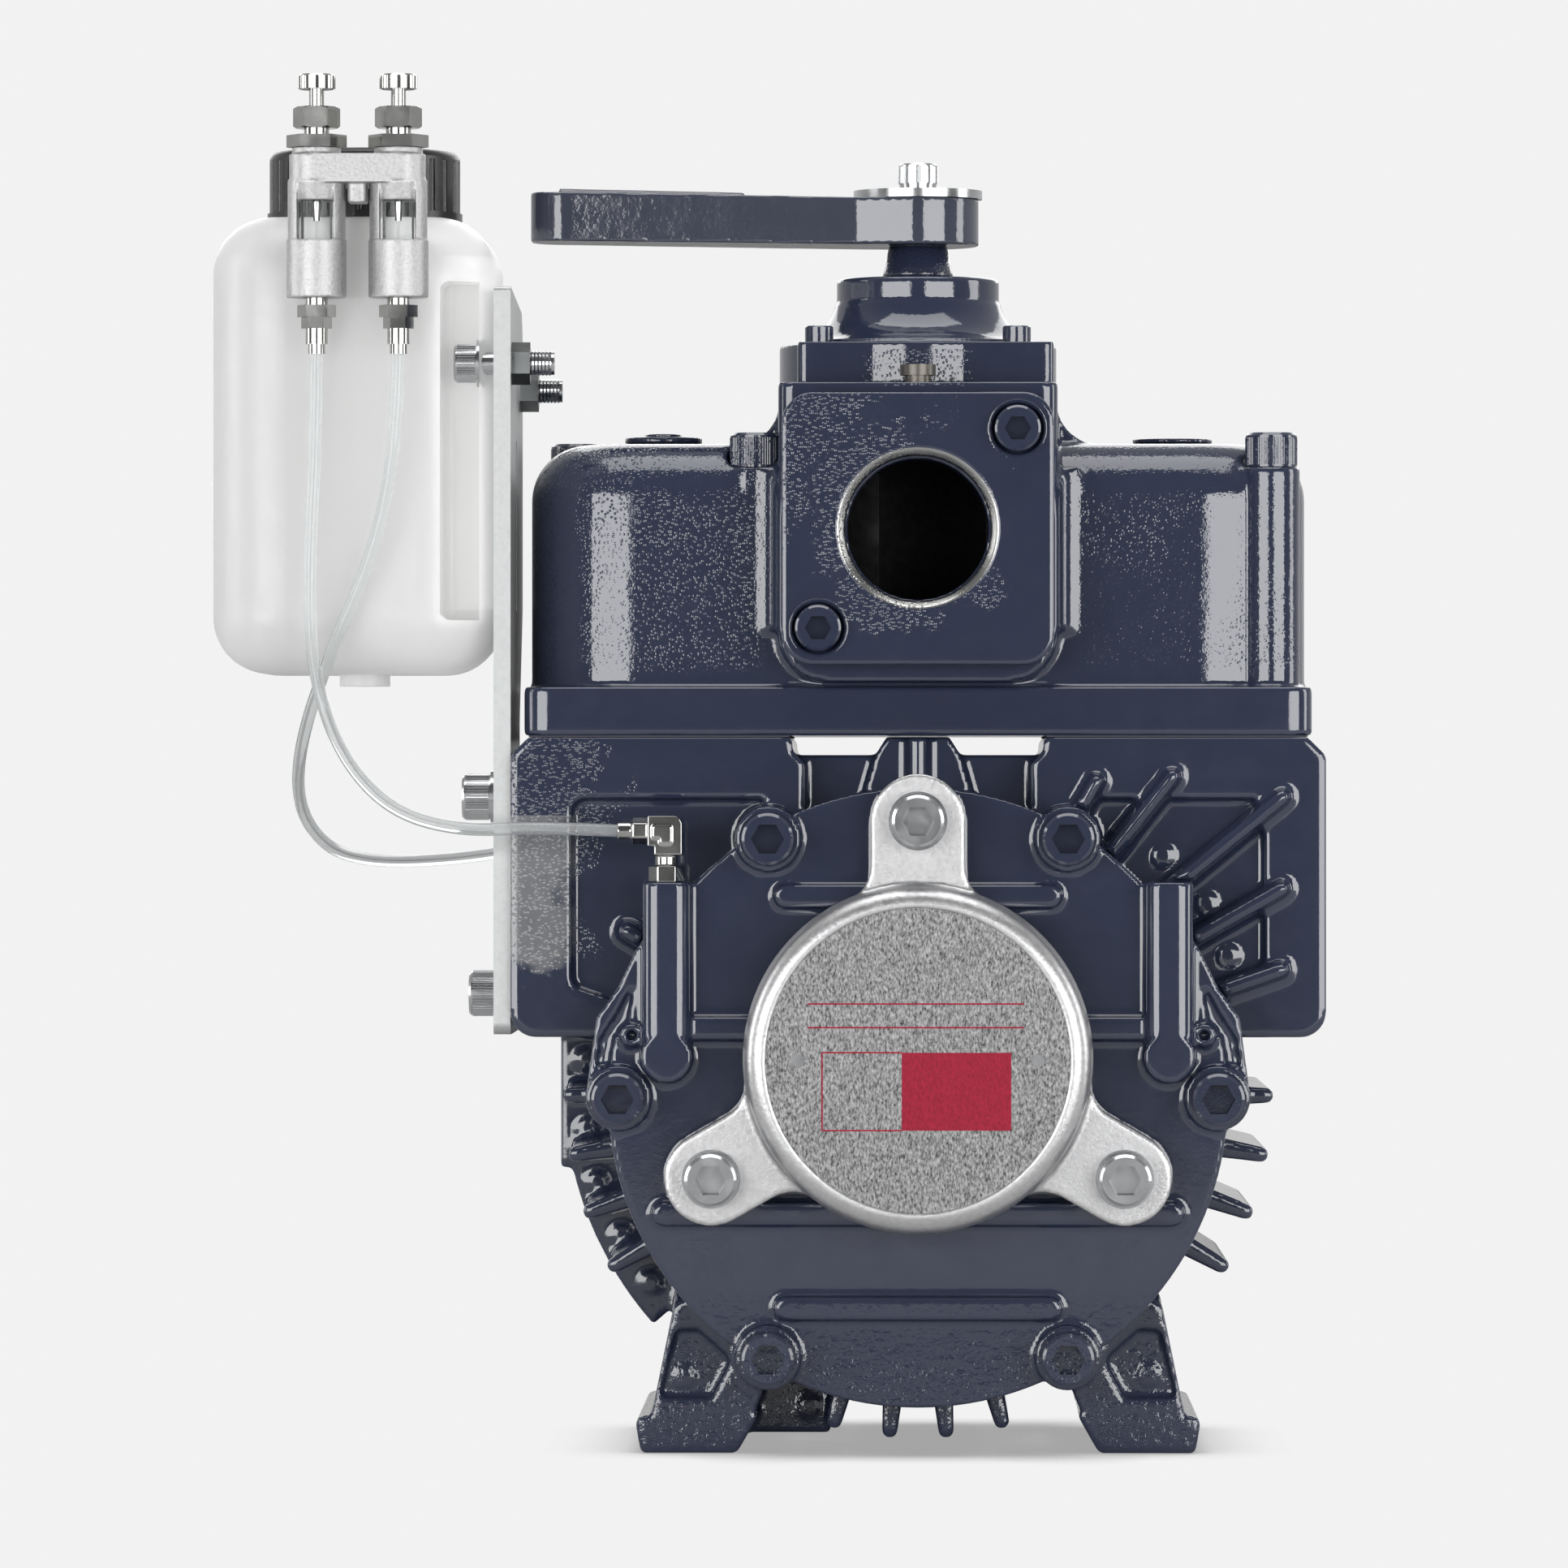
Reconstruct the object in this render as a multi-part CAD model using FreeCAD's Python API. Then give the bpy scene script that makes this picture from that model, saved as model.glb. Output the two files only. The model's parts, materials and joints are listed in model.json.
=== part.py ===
import FreeCAD, Part
import math
import os

# Rotary vane vacuum pump with a four-way valve manifold and a drip-feed oil bottle.
# Millimetres. +X right, +Y to the rear (drive end), +Z up. The floor is z = 0, and
# x = y = 0 is the middle of the foot bolt pattern.

V = FreeCAD.Vector

# Screws: thread radius, head radius, head height, socket width across flats
M12 = (6.0, 9.0, 12.0, 10.0)
M10 = (5.0, 8.0, 10.0, 8.0)
M8 = (4.0, 6.6, 8.0, 6.0)
M6 = (3.0, 5.0, 6.0, 5.0)
SOCKET_SHARE = 0.55
HEAD_CHAMFER = 0.08
NUT_SIDES = 6
THREAD_GRIP = 14.0
COVER_SCREW_GRIP = 22.0
CAP_WASHER_R = 10.2
CAP_WASHER_T = 1.6

# Cylinder, rotor and shaft
BARREL_LENGTH = 150.0
BORE_R = 88.0
BARREL_WALL = 18.0
FLOOR_GAP = 19.2
ECCENTRICITY = 13.8
ROTOR_GAP = 0.3
ROTOR_END_GAP = 0.15
VANE_COUNT = 4
VANE_T = 6.4
VANE_DEPTH = 40.0
VANE_OFFSET = 16.0
VANE_GAP = 0.1
FIT_GAP = 0.05
RUN_GAP = 0.08
SHAFT_CORE_R = 24.0
SHAFT_BEARING_STEP = 1.5
SHAFT_SEAL_STEP = 3.5
SHAFT_END_STEP = 1.5
SHAFT_END_LENGTH = 52.0
SHAFT_SEAL_REACH = 4.0
KEY_WIDTH = 10.0
KEY_DEPTH = 5.0
KEY_LENGTH = 36.0

# Bearings
BEARING_SECTION = 20.0
BEARING_WIDTH = 19.0
ROLLER_R = 4.0
ROLLER_COUNT = 12
ROLLER_GAP = 0.06
ROLLER_SETBACK = 3.0

# End covers
GASKET_T = 0.5
COVER_T = 20.0
COVER_LIP = 1.9
COVER_PAD = 4.0
COVER_SCREW_INSET = 1.8
COVER_BOSS_R = 11.3
COVER_BOSS_RISE = 4.5
COVER_CLEAR = 0.8
COVER_GAP = 0.2
RIB_W = 8.0
RIB_RISE = 4.0
RIBS = ((50.0, 70.3), (86.5, 24.3), (92.5, -40.2), (50.0, -73.2))
GALLERY_INSET = 18.6
GALLERY_W = 16.4
GALLERY_RISE = 9.0
GALLERY_CORNER_R = 5.0
GALLERY_TOP_RISE = 75.2
GALLERY_FOOT_RISE = 14.3
GALLERY_BULB = 0.6
GALLERY_HOLE_R = 3.0
GALLERY_HOLE_DEPTH = 12.0
EAR = ((-17.9, 62.8), (-10.2, 52.3), (-3.4, 38.3), (4.1, 27.8), (7.6, 1.8), (-7.9, -5.2))
EAR_ROUNDS = (0, 3, 3, 4, 4, 0)
EAR_BOSS = (-8.2, 21.8)
EAR_BOSS_R = 4.0
EAR_HOLE_R = 1.8
EAR_HOLE_DEPTH = 6.0
EAR_BOSS_RISE = 2.5
EAR_RECESS = ((-9.3, 41.8), (-3.3, 30.3), (2.9, 20.8), (4.4, 10.8), (-0.4, 10.8), (-2.4, 20.8), (-7.4, 27.3))
EAR_RECESS_DEPTH = 2.5

# Bearing caps
CAP_RIM = 17.5
CAP_DEPTH = 26.0
CAP_EDGE_R = 6.5
CAP_DRAFT = 1.0
CAP_SHOULDER = 4.5
CAP_WALL = 5.0
CAP_LOBE_T = 12.0
CAP_LOBE_R = 16.3
CAP_LOBE_REACH = 22.7
CAP_FILLET_R = 14.0
CAP_PAD_INSET = 1.5
LABEL_INSET = 7.3
LABEL_T = 0.8
LABEL_GAP = 0.3
LABEL_RIVET_INSET = 11.3
RIVET_R = 1.5
RIVET_HEAD_R = 2.3
RIVET_RISE = 0.9
SEAL_T = 9.0
SEAL_SECTION = 9.0

# Housing boxes, ribs, fins and feet
BOX_HALF_W = 143.0
BOX_SETBACK = 3.0
BOX_RISE = 125.8
BOX_LOW_RISE = 20.5
BOX_INNER_X = 44.0
BOX_INNER_STEP = 4.3
BOX_CHAMFER = 6.5
BOX_STEP_DROP = 5.0
BOX_STEP_H = 4.0
BOX_LOW_R = 9.0
BOX_WALL = 8.0
POCKET_DEPTH = 5.0
POCKET_CORNER_R = 5.0
POCKET_INNER_X = 52.0
POCKET_SIDE = 21.5
POCKET_DROP = 21.6
POCKET_LIFT = 17.9
POCKET_FALL = 24.0
SADDLE_DROP = 6.3
SADDLE_INSET = 17.0
POST_HALF_W = 11.0
POST_FLARE = 4.0
POST_FOOT_FLARE = 9.0
POST_INSET = 9.0
POST_ROUND_R = 4.1
FIN_T = 7.5
FIN_TIP_T = 5.0
FIN_REACH = 18.6
FIN_INSET = 7.0
FIN_STEP = 9.75
FIN_ROOT = 4.0
BELLY_REACH = 14.5
BELLY_STEP = 9.6
SIDE_FINS = 4
FRONT_RIB_W = 9.0
FRONT_RIB_CREST_W = 4.0
FRONT_RIB_RISE = 6.0
FRONT_RIBS_RIGHT = ((60.5, 25.0), (51.5, 41.5), (39.4, 63.5), (29.7, 45.0), (19.2, 33.0))
FRONT_RIBS_LEFT = ((150.5, 15.5),)
FOOT_HALF_W = 18.0
FOOT_HOLE_X = 81.5
FOOT_T = 13.1
FOOT_BEVEL = 2.3
FOOT_TOE = (-7.5, 22.0)
FOOT_TOE_STEP = (2.5, 4.2)
FOOT_HOLE_SETBACK = 15.0
FOOT_HOLE_R = 5.5
SPOT_FACE_R = 10.5
LEG_D = 34.0
LEG_WALL = 9.0
LEG_PANEL_DEPTH = 3.0
LEG_HIP = (-40.5, 6.5)
LEG_BACK = (-43.0, -10.0)
LEG_GROIN = (-62.0, -8.0)
LEG_PANEL = ((9.3, 19.3), (3.5, 43.0), (-4.4, 43.5), (-14.8, 34.1), (-15.6, 31.3), (-9.2, 19.3))
SIDE_WALL_INSET = 15.0
SIDE_WALL_DROP = 28.2
SIDE_WALL_FRONT = 6.0
RING_REACH = 21.0
RING_FOOT = (-98.0, -87.2)
WEB_X = 31.0
WEB_FRONT = -38.0
WEB_T = 8.0
WEB_LOW = 5.0
SLOT_W = 14.0
SLOT_HALF = 12.0
SLOT_PITCH = 40.0
SLOT_ANGLE = 50.0
MARK_R = 3.5
MARK_RISE = 0.8
POCKET_MARKS = ((86.1, 209.1), (101.2, 192.6), (108.9, 174.1))
WALL_MARKS = ((-119.1, 135.8), (-118.5, 110.8), (-115.0, 91.6), (-106.2, 72.4), (-95.8, 55.8))
LEG_MARKS = ((-82.1, 26.2), (81.0, 27.0))
WEB_MARK = (-38.5, 14.3)

# Manifold
FLANGE_INSET = 4.7
FLANGE_T = 17.0
FLANGE_CORNER_R = 8.0
DOME_INSET = 6.0
DOME_H = 86.1
DOME_CORNER_R = 38.0
DOME_EDGE_R = 20.0
DOME_WALL = 8.0
BODY_HALF = 49.0
BODY_RISE = 20.7
BODY_STAND = 4.0
BODY_LIFT = 2.0
BODY_LOW_R = 18.0
BODY_EDGE_R = 5.0
BLEND_R = 8.0
SHOULDER_R = 15.0
PORT_DROP = 51.6
PORT_R = 25.4
PORT_CHAMFER = 2.5
PORT_STEP = 0.8
PORT_LAND = 22.2
PORT_PLATE_T = 11.5
PORT_PLATE_CORNER = 11.0
PORT_SCREW_INSET = 12.8
PORT_SCREW_SINK = 4.0
PORT_SCREW_DEPTH = 18.0
STAY_X_INSET = 18.7
STAY_X_IN = 57.0
STAY_Y_INSET = 9.0
STAY_Y_IN_INSET = 9.0
STAY_BOSS_R = 10.0
STAY_SINK = 8.6
STAY_DEPTH = 24.0
HEAD_CLEAR = 1.2
PLUG_INSET = 52.0
PLUG_BORE_R = 7.2
PLUG_SEAT_R = 15.5
PLUG_SEAT_RISE = 1.4
LEFT_PLUG = ((13.8, 2.2), (6.8, 3.6))
RIGHT_PLUG = ((14.2, 1.6),)
VALVE_WALL = 9.0
VALVE_FLOOR = 10.5
VALVE_POCKET_FLOOR = 13.0
VALVE_POCKET_ROOF = 21.3
VALVE_WEB = 11.0
VALVE_WINDOW_HALF = 20.0
VALVE_END_GAP = 0.3
SPINDLE_R = 10.0
GAUGE_HOLE_R = 3.5
GAUGE_DEPTH = 10.0
GAUGE_PLUG = ((4.7, 0.0, 2.9), (6.3, 2.8, 6.6))

# Valve cover and lever
LID_FRONT_MARGIN = 7.0
LID_NARROW_MARGIN = 2.6
LID_WIDE_MARGIN = 8.0
LID_ROUND_MARGIN = 9.5
LID_T = 14.9
LID_SKIRT_MARGIN = 3.5
LID_FLARE_H = 15.2
LID_NECK_R = 29.0
LID_NECK_H = 9.0
LID_SCREW_INSET = 5.0
STEM_SEAL_R = 15.0
STEM_SEAL_T = 6.0
LEVER_GAP = 11.8
LEVER_T = 16.8
LEVER_HUB_R = 21.7
LEVER_REACH = 138.4
LEVER_END_R = 14.5
LEVER_LIFT = 2.4
LEVER_PAD_RISE = 1.2
LEVER_PAD = (62.0, 128.0)
LEVER_PAD_HALF_W = 10.0
WASHER_R = 23.0
WASHER_T = 3.0
SPRING_WASHER_T = 2.4
LEVER_SCREW = (4.0, 6.9, 7.4, 6.0)
LEVER_SCREW_GRIP = 18.0

# Oil bottle and cap
BOTTLE_W = 100.0
BOTTLE_D = 110.0
BOTTLE_H = 161.1
BOTTLE_LIFT = 22.4
BOTTLE_CORNER_R = 27.0
BOTTLE_EDGE_R = 20.0
BOTTLE_WALL = 2.2
BOTTLE_TAB_T = 5.3
RECESS_W = 19.0
RECESS_D = 30.0
RECESS_LIFT = 18.6
RECESS_H = 119.0
RECESS_R = 4.0
NECK_R = 28.0
NECK_H = 18.5
NECK_SHIFT = 2.0
BOTTLE_CAP_MARGIN = 5.9
BOTTLE_CAP_HEAD = 6.4
BOTTLE_CAP_WALL = 2.4
BOTTLE_CAP_GAP = 0.3
BOTTLE_CAP_LIP = (0.8, 2.6)
CAP_FLUTES = 30
CAP_FLUTE_R = 1.5
CAP_FLUTE_OUT = 0.5
NUB_R = 9.0
NUB_DROP = 4.2
LUG_T = 1.6
LUG_HALF_W = 14.0
LUG_HALF_H = 7.0
LUG_DROPS = (32.5, 99.5)
BOTTLE_SCREW_INSET = 16.0
BOTTLE_SCREW_DROPS = (51.9, 58.5)
BOTTLE_WASHER_R = 8.4
BOTTLE_WASHER_T = 1.0
BOTTLE_NUT = (13.0, 6.5)
BOTTLE_SCREW_END = 15.0

# Bracket plate
PLATE_T = 6.0
PLATE_INSET = 4.0
PLATE_LOW_DEPTH = 80.0
PLATE_LIFT = 0.8
PLATE_TOP_DROP = 25.1
PLATE_NECK = (46.1, 7.0)
PLATE_SLOT_BACK = 50.0
PLATE_SLOT_W = 8.0
PLATE_SLOT_LIFT = 22.6
PLATE_SLOT_LENGTH = 61.0
PLATE_SCREW_INSET = 12.0
PLATE_SCREW_DROP = 21.0
PLATE_SCREW_LIFT = 13.2
PLATE_SCREW_BACK = 15.0
PLATE_SCREW_GRIP = 6.0
PLATE_WASHER_R = 9.2
PLATE_WASHER_T = 1.4

# Drip oiler
OILER_STAND = 12.5
OILER_LEFT = 13.1
OILER_RIGHT = 15.5
OILER_BARREL_R = 10.5
OILER_WINDOW_W = 12.8
OILER_BARREL_H = 20.1
OILER_GLASS_R = 6.3
OILER_GLASS_H = 13.7
OILER_LIP_H = 6.2
BRIDGE_H = 10.0
BRIDGE_DROP = 5.0
BRIDGE_HALF_D = 9.5
OILER_BOSS_H = 2.5
ARM_HALF_W = 8.0
TONGUE_HALF_W = 3.3
TONGUE_H = 6.8
GLASS_WALL = 1.4
GLASS_LOW_SEAT = 4.0
GLASS_HIGH_SEAT = 3.0
OUTLET_R = 4.0
NOZZLE_R = 1.6
NOZZLE_BORE_R = 0.7
NOZZLE_TIP_R = 1.1
PLATE_HEX = 18.3
PLATE_HEX_H = 4.3
GLAND_HEX = 14.3
GLAND_NECK_H = 2.3
GLAND_H = 7.6
NECK_SMALL_R = 4.4
NEEDLE_R = 2.6
NEEDLE_LIFT = 2.8
NEEDLE_POINT = 9.0
KNOB_GAP = 5.4
KNOB_H = 6.0
KNOB_R = 6.4
FEED_HEX = 11.7
FEED_HEX_H = 4.2
FEED_THREAD_H = 2.6
FEED_NUT = 9.3
FEED_NUT_H = 4.0
FEED_SLEEVE_R = 3.9
FEED_SLEEVE_H = 5.4
FEED_TIP_R = 3.0
FEED_TIP_H = 3.4
FEED_BORE_R = 1.4

# Oil tubes and elbows
TUBE_R = 2.2
ELBOW_INSET = 1.0
ELBOW_STEM_R = 3.0
ELBOW_STEM_L = 11.0
ELBOW_HEX = 11.0
ELBOW_HEX_H = 5.6
ELBOW_NECK_R = 3.9
ELBOW_ARM = 3.2
ELBOW_NECK_H = 7.0
ELBOW_HALF = 5.2
ELBOW_NUT = 8.4
ELBOW_NUT_H = 6.0
ELBOW_SLEEVE_R = 3.2
ELBOW_REACH = 17.2
ELBOW_ROUND_R = 3.2
ELBOW_PAD_T = 0.4
FRONT_TUBE = ((-210.1, -84.5, 384.8), (-210.4, -84.5, 352.0), (-212.5, -85.0, 314.0),
              (-212.0, -88.0, 277.0), (-203.0, -92.0, 247.0), (-185.0, -96.0, 225.5),
              (-160.0, -98.5, 218.0), (-132.0, -98.0, 219.5), (-104.6, -96.5, 218.2))
REAR_TUBE = ((-181.5, -84.5, 384.8), (-182.2, -83.5, 354.0), (-190.0, -80.0, 316.0),
             (-205.5, -78.0, 281.0), (-217.0, -66.0, 250.0), (-220.0, -38.0, 227.0),
             (-212.0, -2.0, 211.5), (-198.0, 32.0, 206.5), (-176.0, 62.0, 206.5),
             (-150.0, 84.0, 209.5), (-126.0, 95.5, 216.0), (-104.6, 96.5, 218.2))

# Worked out from the sizes above
HALF = BARREL_LENGTH / 2
BARREL_R = BORE_R + BARREL_WALL
CYL_Z = BARREL_R + FLOOR_GAP
ROTOR_Z = CYL_Z + ECCENTRICITY
ROTOR_R = BORE_R - ECCENTRICITY - ROTOR_GAP
BEARING_INNER_R = SHAFT_CORE_R - SHAFT_BEARING_STEP
BEARING_OUTER_R = BEARING_INNER_R + BEARING_SECTION
SHAFT_SEAL_R = BEARING_INNER_R - SHAFT_SEAL_STEP
SHAFT_END_R = SHAFT_SEAL_R - SHAFT_END_STEP
COVER_BACK = HALF + GASKET_T
COVER_FACE = COVER_BACK + COVER_T
PAD_FACE = COVER_FACE + COVER_PAD
CAP_FACE = PAD_FACE + CAP_DEPTH
BEARING_BACK = PAD_FACE - BEARING_WIDTH
ROLLER_PITCH_R = (BEARING_INNER_R + BEARING_OUTER_R) / 2
INNER_RACE_R = ROLLER_PITCH_R - ROLLER_R - ROLLER_GAP
OUTER_RACE_R = ROLLER_PITCH_R + ROLLER_R + ROLLER_GAP
COVER_R = BARREL_R + COVER_LIP
COVER_SCREW_PCD_R = BARREL_R - COVER_SCREW_INSET
GALLERY_X = BARREL_R - GALLERY_INSET
GALLERY_TOP = CYL_Z + GALLERY_TOP_RISE
GALLERY_FOOT = CYL_Z + GALLERY_FOOT_RISE
CAP_R = BEARING_OUTER_R + CAP_RIM
CAP_BORE_R = BEARING_OUTER_R - CAP_SHOULDER
CAP_SCREW_PCD_R = CAP_R + CAP_LOBE_REACH
LABEL_R = CAP_R - LABEL_INSET
LABEL_RIVET_X = LABEL_R - LABEL_RIVET_INSET
SEAL_R = SHAFT_SEAL_R + SEAL_SECTION
BOX_HALF_D = HALF - BOX_SETBACK
BOX_TOP = CYL_Z + BOX_RISE
BOX_BOTTOM = CYL_Z + BOX_LOW_RISE
POCKET_OUTER_X = BOX_HALF_W - POCKET_SIDE
POCKET_TOP = BOX_TOP - POCKET_DROP
POCKET_BOTTOM = BOX_BOTTOM + POCKET_LIFT
POCKET_FLOOR_Y = BOX_HALF_D - POCKET_DEPTH
SADDLE_TOP = BOX_TOP - SADDLE_DROP
SADDLE_HALF_D = HALF - SADDLE_INSET
POST_FRONT = HALF - POST_INSET
FIN_HALF_D = HALF - FIN_INSET
FIN_R = BARREL_R + FIN_REACH
BELLY_FIN_R = BARREL_R + BELLY_REACH
RING_R = BARREL_R + RING_REACH
SIDE_WALL_X = BOX_HALF_W - SIDE_WALL_INSET
SIDE_WALL_BOTTOM = CYL_Z - SIDE_WALL_DROP
FOOT_HALF_D = BOX_HALF_D
FOOT_OUT = FOOT_HOLE_X + FOOT_HALF_W
FOOT_IN = FOOT_HOLE_X - FOOT_HALF_W
FOOT_HOLE_Y = FOOT_HALF_D - FOOT_HOLE_SETBACK
FLANGE_LOW = BOX_TOP + GASKET_T
FLANGE_TOP = FLANGE_LOW + FLANGE_T
FLANGE_HALF_W = BOX_HALF_W - FLANGE_INSET
DOME_HALF_W = BOX_HALF_W - DOME_INSET
DOME_HALF_D = BOX_HALF_D - DOME_INSET
DOME_TOP = FLANGE_TOP + DOME_H
BODY_TOP = DOME_TOP + BODY_RISE
BODY_LOW = FLANGE_TOP + BODY_LIFT
BODY_FACE_Y = BOX_HALF_D + BODY_STAND
PORT_Z = BODY_TOP - PORT_DROP
PORT_PLATE_HALF = PORT_R + PORT_LAND
PORT_SCREW = PORT_PLATE_HALF - PORT_SCREW_INSET
PORT_FACE = BODY_FACE_Y + GASKET_T + PORT_PLATE_T
STAY_X_OUT = BOX_HALF_W - STAY_X_INSET
STAY_Y_OUT = DOME_HALF_D - STAY_Y_INSET
STAY_Y_IN = DOME_HALF_D - STAY_Y_IN_INSET
STAY_SEAT = DOME_TOP - STAY_SINK
PLUG_X = BOX_HALF_W - PLUG_INSET
VALVE_R = BODY_HALF - VALVE_WALL
VALVE_BOTTOM = FLANGE_TOP + VALVE_FLOOR
VALVE_POCKET_LOW = VALVE_BOTTOM + VALVE_POCKET_FLOOR
VALVE_POCKET_HIGH = BODY_TOP - VALVE_POCKET_ROOF
LID_FRONT = VALVE_R + LID_FRONT_MARGIN
LID_NARROW = VALVE_R + LID_NARROW_MARGIN
LID_WIDE = VALVE_R + LID_WIDE_MARGIN
LID_ROUND_R = VALVE_R + LID_ROUND_MARGIN
LID_SKIRT_R = VALVE_R + LID_SKIRT_MARGIN
LID_SCREW = VALVE_R - LID_SCREW_INSET
LID_LOW = BODY_TOP + GASKET_T
LID_NECK_LOW = LID_LOW + LID_T + LID_FLARE_H
LID_TOP = LID_NECK_LOW + LID_NECK_H
LEVER_BOTTOM = LID_TOP + LEVER_GAP
LEVER_TOP = LEVER_BOTTOM + LEVER_T
PLATE_X = -BOX_HALF_W - PLATE_T
PLATE_FRONT = -BOX_HALF_D + PLATE_INSET
PLATE_BOTTOM = BOX_BOTTOM + PLATE_LIFT
BOTTLE_X = PLATE_X - BOTTLE_W
BOTTLE_FRONT = PLATE_FRONT - PLATE_INSET
BOTTLE_REAR = BOTTLE_FRONT + BOTTLE_D
BOTTLE_Y = (BOTTLE_FRONT + BOTTLE_REAR) / 2
BOTTLE_BOTTOM = BOX_TOP + BOTTLE_LIFT
BOTTLE_SHOULDER = BOTTLE_BOTTOM + BOTTLE_H
PLATE_REAR_HIGH = BOTTLE_REAR
PLATE_REAR_LOW = PLATE_FRONT + PLATE_LOW_DEPTH
PLATE_TOP = BOTTLE_SHOULDER - PLATE_TOP_DROP
PLATE_SLOT_Y = PLATE_FRONT + PLATE_SLOT_BACK
PLATE_SLOT_LOW = BOTTLE_BOTTOM + PLATE_SLOT_LIFT
PLATE_SLOT_HIGH = PLATE_SLOT_LOW + PLATE_SLOT_LENGTH
PLATE_SCREWS = ((PLATE_FRONT + PLATE_SCREW_INSET, BOX_TOP - PLATE_SCREW_DROP),
                (PLATE_REAR_LOW - PLATE_SCREW_BACK, PLATE_BOTTOM + PLATE_SCREW_LIFT))
BOTTLE_SCREWS = ((BOTTLE_FRONT + BOTTLE_SCREW_INSET, BOTTLE_SHOULDER - BOTTLE_SCREW_DROPS[0]),
                 (BOTTLE_REAR - BOTTLE_SCREW_INSET, BOTTLE_SHOULDER - BOTTLE_SCREW_DROPS[1]))
TAB_X = PLATE_X - BOTTLE_TAB_T
RECESS_LOW = BOTTLE_BOTTOM + RECESS_LIFT
RECESS_HIGH = RECESS_LOW + RECESS_H
NECK_TOP = BOTTLE_SHOULDER + NECK_H
CAP_X = BOTTLE_X + BOTTLE_W / 2 + NECK_SHIFT
BOTTLE_CAP_R = NECK_R + BOTTLE_CAP_MARGIN
BOTTLE_CAP_TOP = NECK_TOP + BOTTLE_CAP_HEAD
OILER_Y = BOTTLE_FRONT - OILER_STAND
OILER_X = (CAP_X - OILER_LEFT, CAP_X + OILER_RIGHT)
BRIDGE_TOP = BOTTLE_CAP_TOP - BRIDGE_DROP
BRIDGE_LOW = BRIDGE_TOP - BRIDGE_H
GLASS_HIGH = BRIDGE_LOW - OILER_LIP_H
GLASS_LOW = GLASS_HIGH - OILER_GLASS_H
OILER_FOOT = GLASS_LOW - OILER_BARREL_H
OILER_BOSS_TOP = BRIDGE_TOP + OILER_BOSS_H
GLAND_LOW = OILER_BOSS_TOP + PLATE_HEX_H + GLAND_NECK_H
GLAND_TOP = GLAND_LOW + GLAND_H
NEEDLE_TIP = GLASS_HIGH + NEEDLE_LIFT
KNOB_LOW = GLAND_TOP + KNOB_GAP
KNOB_TOP = KNOB_LOW + KNOB_H
FEED_HEX_LOW = OILER_FOOT - FEED_THREAD_H - FEED_HEX_H
FEED_NUT_LOW = FEED_HEX_LOW - FEED_NUT_H
FEED_SLEEVE_LOW = FEED_NUT_LOW - FEED_SLEEVE_H
FEED_LOW = FEED_SLEEVE_LOW - FEED_TIP_H
ELBOW_Z = GALLERY_TOP + ELBOW_HEX_H + ELBOW_NECK_H + ELBOW_HALF
ELBOW_END_X = -GALLERY_X - ELBOW_REACH


def box(x0, x1, y0, y1, z0, z1):
    return Part.makeBox(x1 - x0, y1 - y0, z1 - z0, V(x0, y0, z0))


def rod_x(y, z, r, x0, x1):
    return Part.makeCylinder(r, x1 - x0, V(x0, y, z), V(1, 0, 0))


def rod_y(x, z, r, y0, y1):
    return Part.makeCylinder(r, y1 - y0, V(x, y0, z), V(0, 1, 0))


def rod_z(x, y, r, z0, z1):
    return Part.makeCylinder(r, z1 - z0, V(x, y, z0), V(0, 0, 1))


def polar(angle, r, z=CYL_Z):
    """A point at an angle and radius about a lengthwise axis at height z."""
    a = math.radians(angle)
    return r * math.cos(a), z + r * math.sin(a)


def rounded_wire(points, radii):
    """A closed outline through the points, each corner rounded by its radius (0 keeps it sharp)."""
    count = len(points)
    starts, ends, mids = [], [], []
    for i, (point, r) in enumerate(zip(points, radii)):
        before = (points[i - 1] - point).normalize()
        after = (points[(i + 1) % count] - point).normalize()
        turn = before.getAngle(after)
        if r <= 0 or turn > math.pi - 1e-4:
            starts.append(point)
            ends.append(point)
            mids.append(None)
            continue
        back = r / math.tan(turn / 2)
        starts.append(point + before * back)
        ends.append(point + after * back)
        bisector = (before + after).normalize()
        centre = point + bisector * (r / math.sin(turn / 2))
        mids.append(centre - bisector * r)
    edges = []
    for i in range(count):
        if mids[i] is not None:
            edges.append(Part.Arc(starts[i], mids[i], ends[i]).toShape())
        following = starts[(i + 1) % count]
        if ends[i].distanceToPoint(following) > 1e-6:
            edges.append(Part.LineSegment(ends[i], following).toShape())
    return Part.Wire(edges)


def prism_y(outline, y0, y1, r=0.0):
    """An outline of (x, z) points, corners rounded by r or by a list, extruded along Y."""
    radii = r if isinstance(r, (list, tuple)) else [r] * len(outline)
    wire = rounded_wire([V(x, y0, z) for x, z in outline], radii)
    return Part.Face(wire).extrude(V(0, y1 - y0, 0))


def prism_z(outline, z0, z1, r=0.0):
    """An outline of (x, y) points, corners rounded by r or by a list, extruded along Z."""
    radii = r if isinstance(r, (list, tuple)) else [r] * len(outline)
    wire = rounded_wire([V(x, y, z0) for x, y in outline], radii)
    return Part.Face(wire).extrude(V(0, 0, z1 - z0))


def prism_x(outline, x0, x1, r=0.0):
    """An outline of (y, z) points, corners rounded by r or by a list, extruded along X."""
    radii = r if isinstance(r, (list, tuple)) else [r] * len(outline)
    wire = rounded_wire([V(x0, y, z) for y, z in outline], radii)
    return Part.Face(wire).extrude(V(x1 - x0, 0, 0))


def rectangle(a0, a1, b0, b1):
    return [(a0, b0), (a1, b0), (a1, b1), (a0, b1)]


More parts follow.
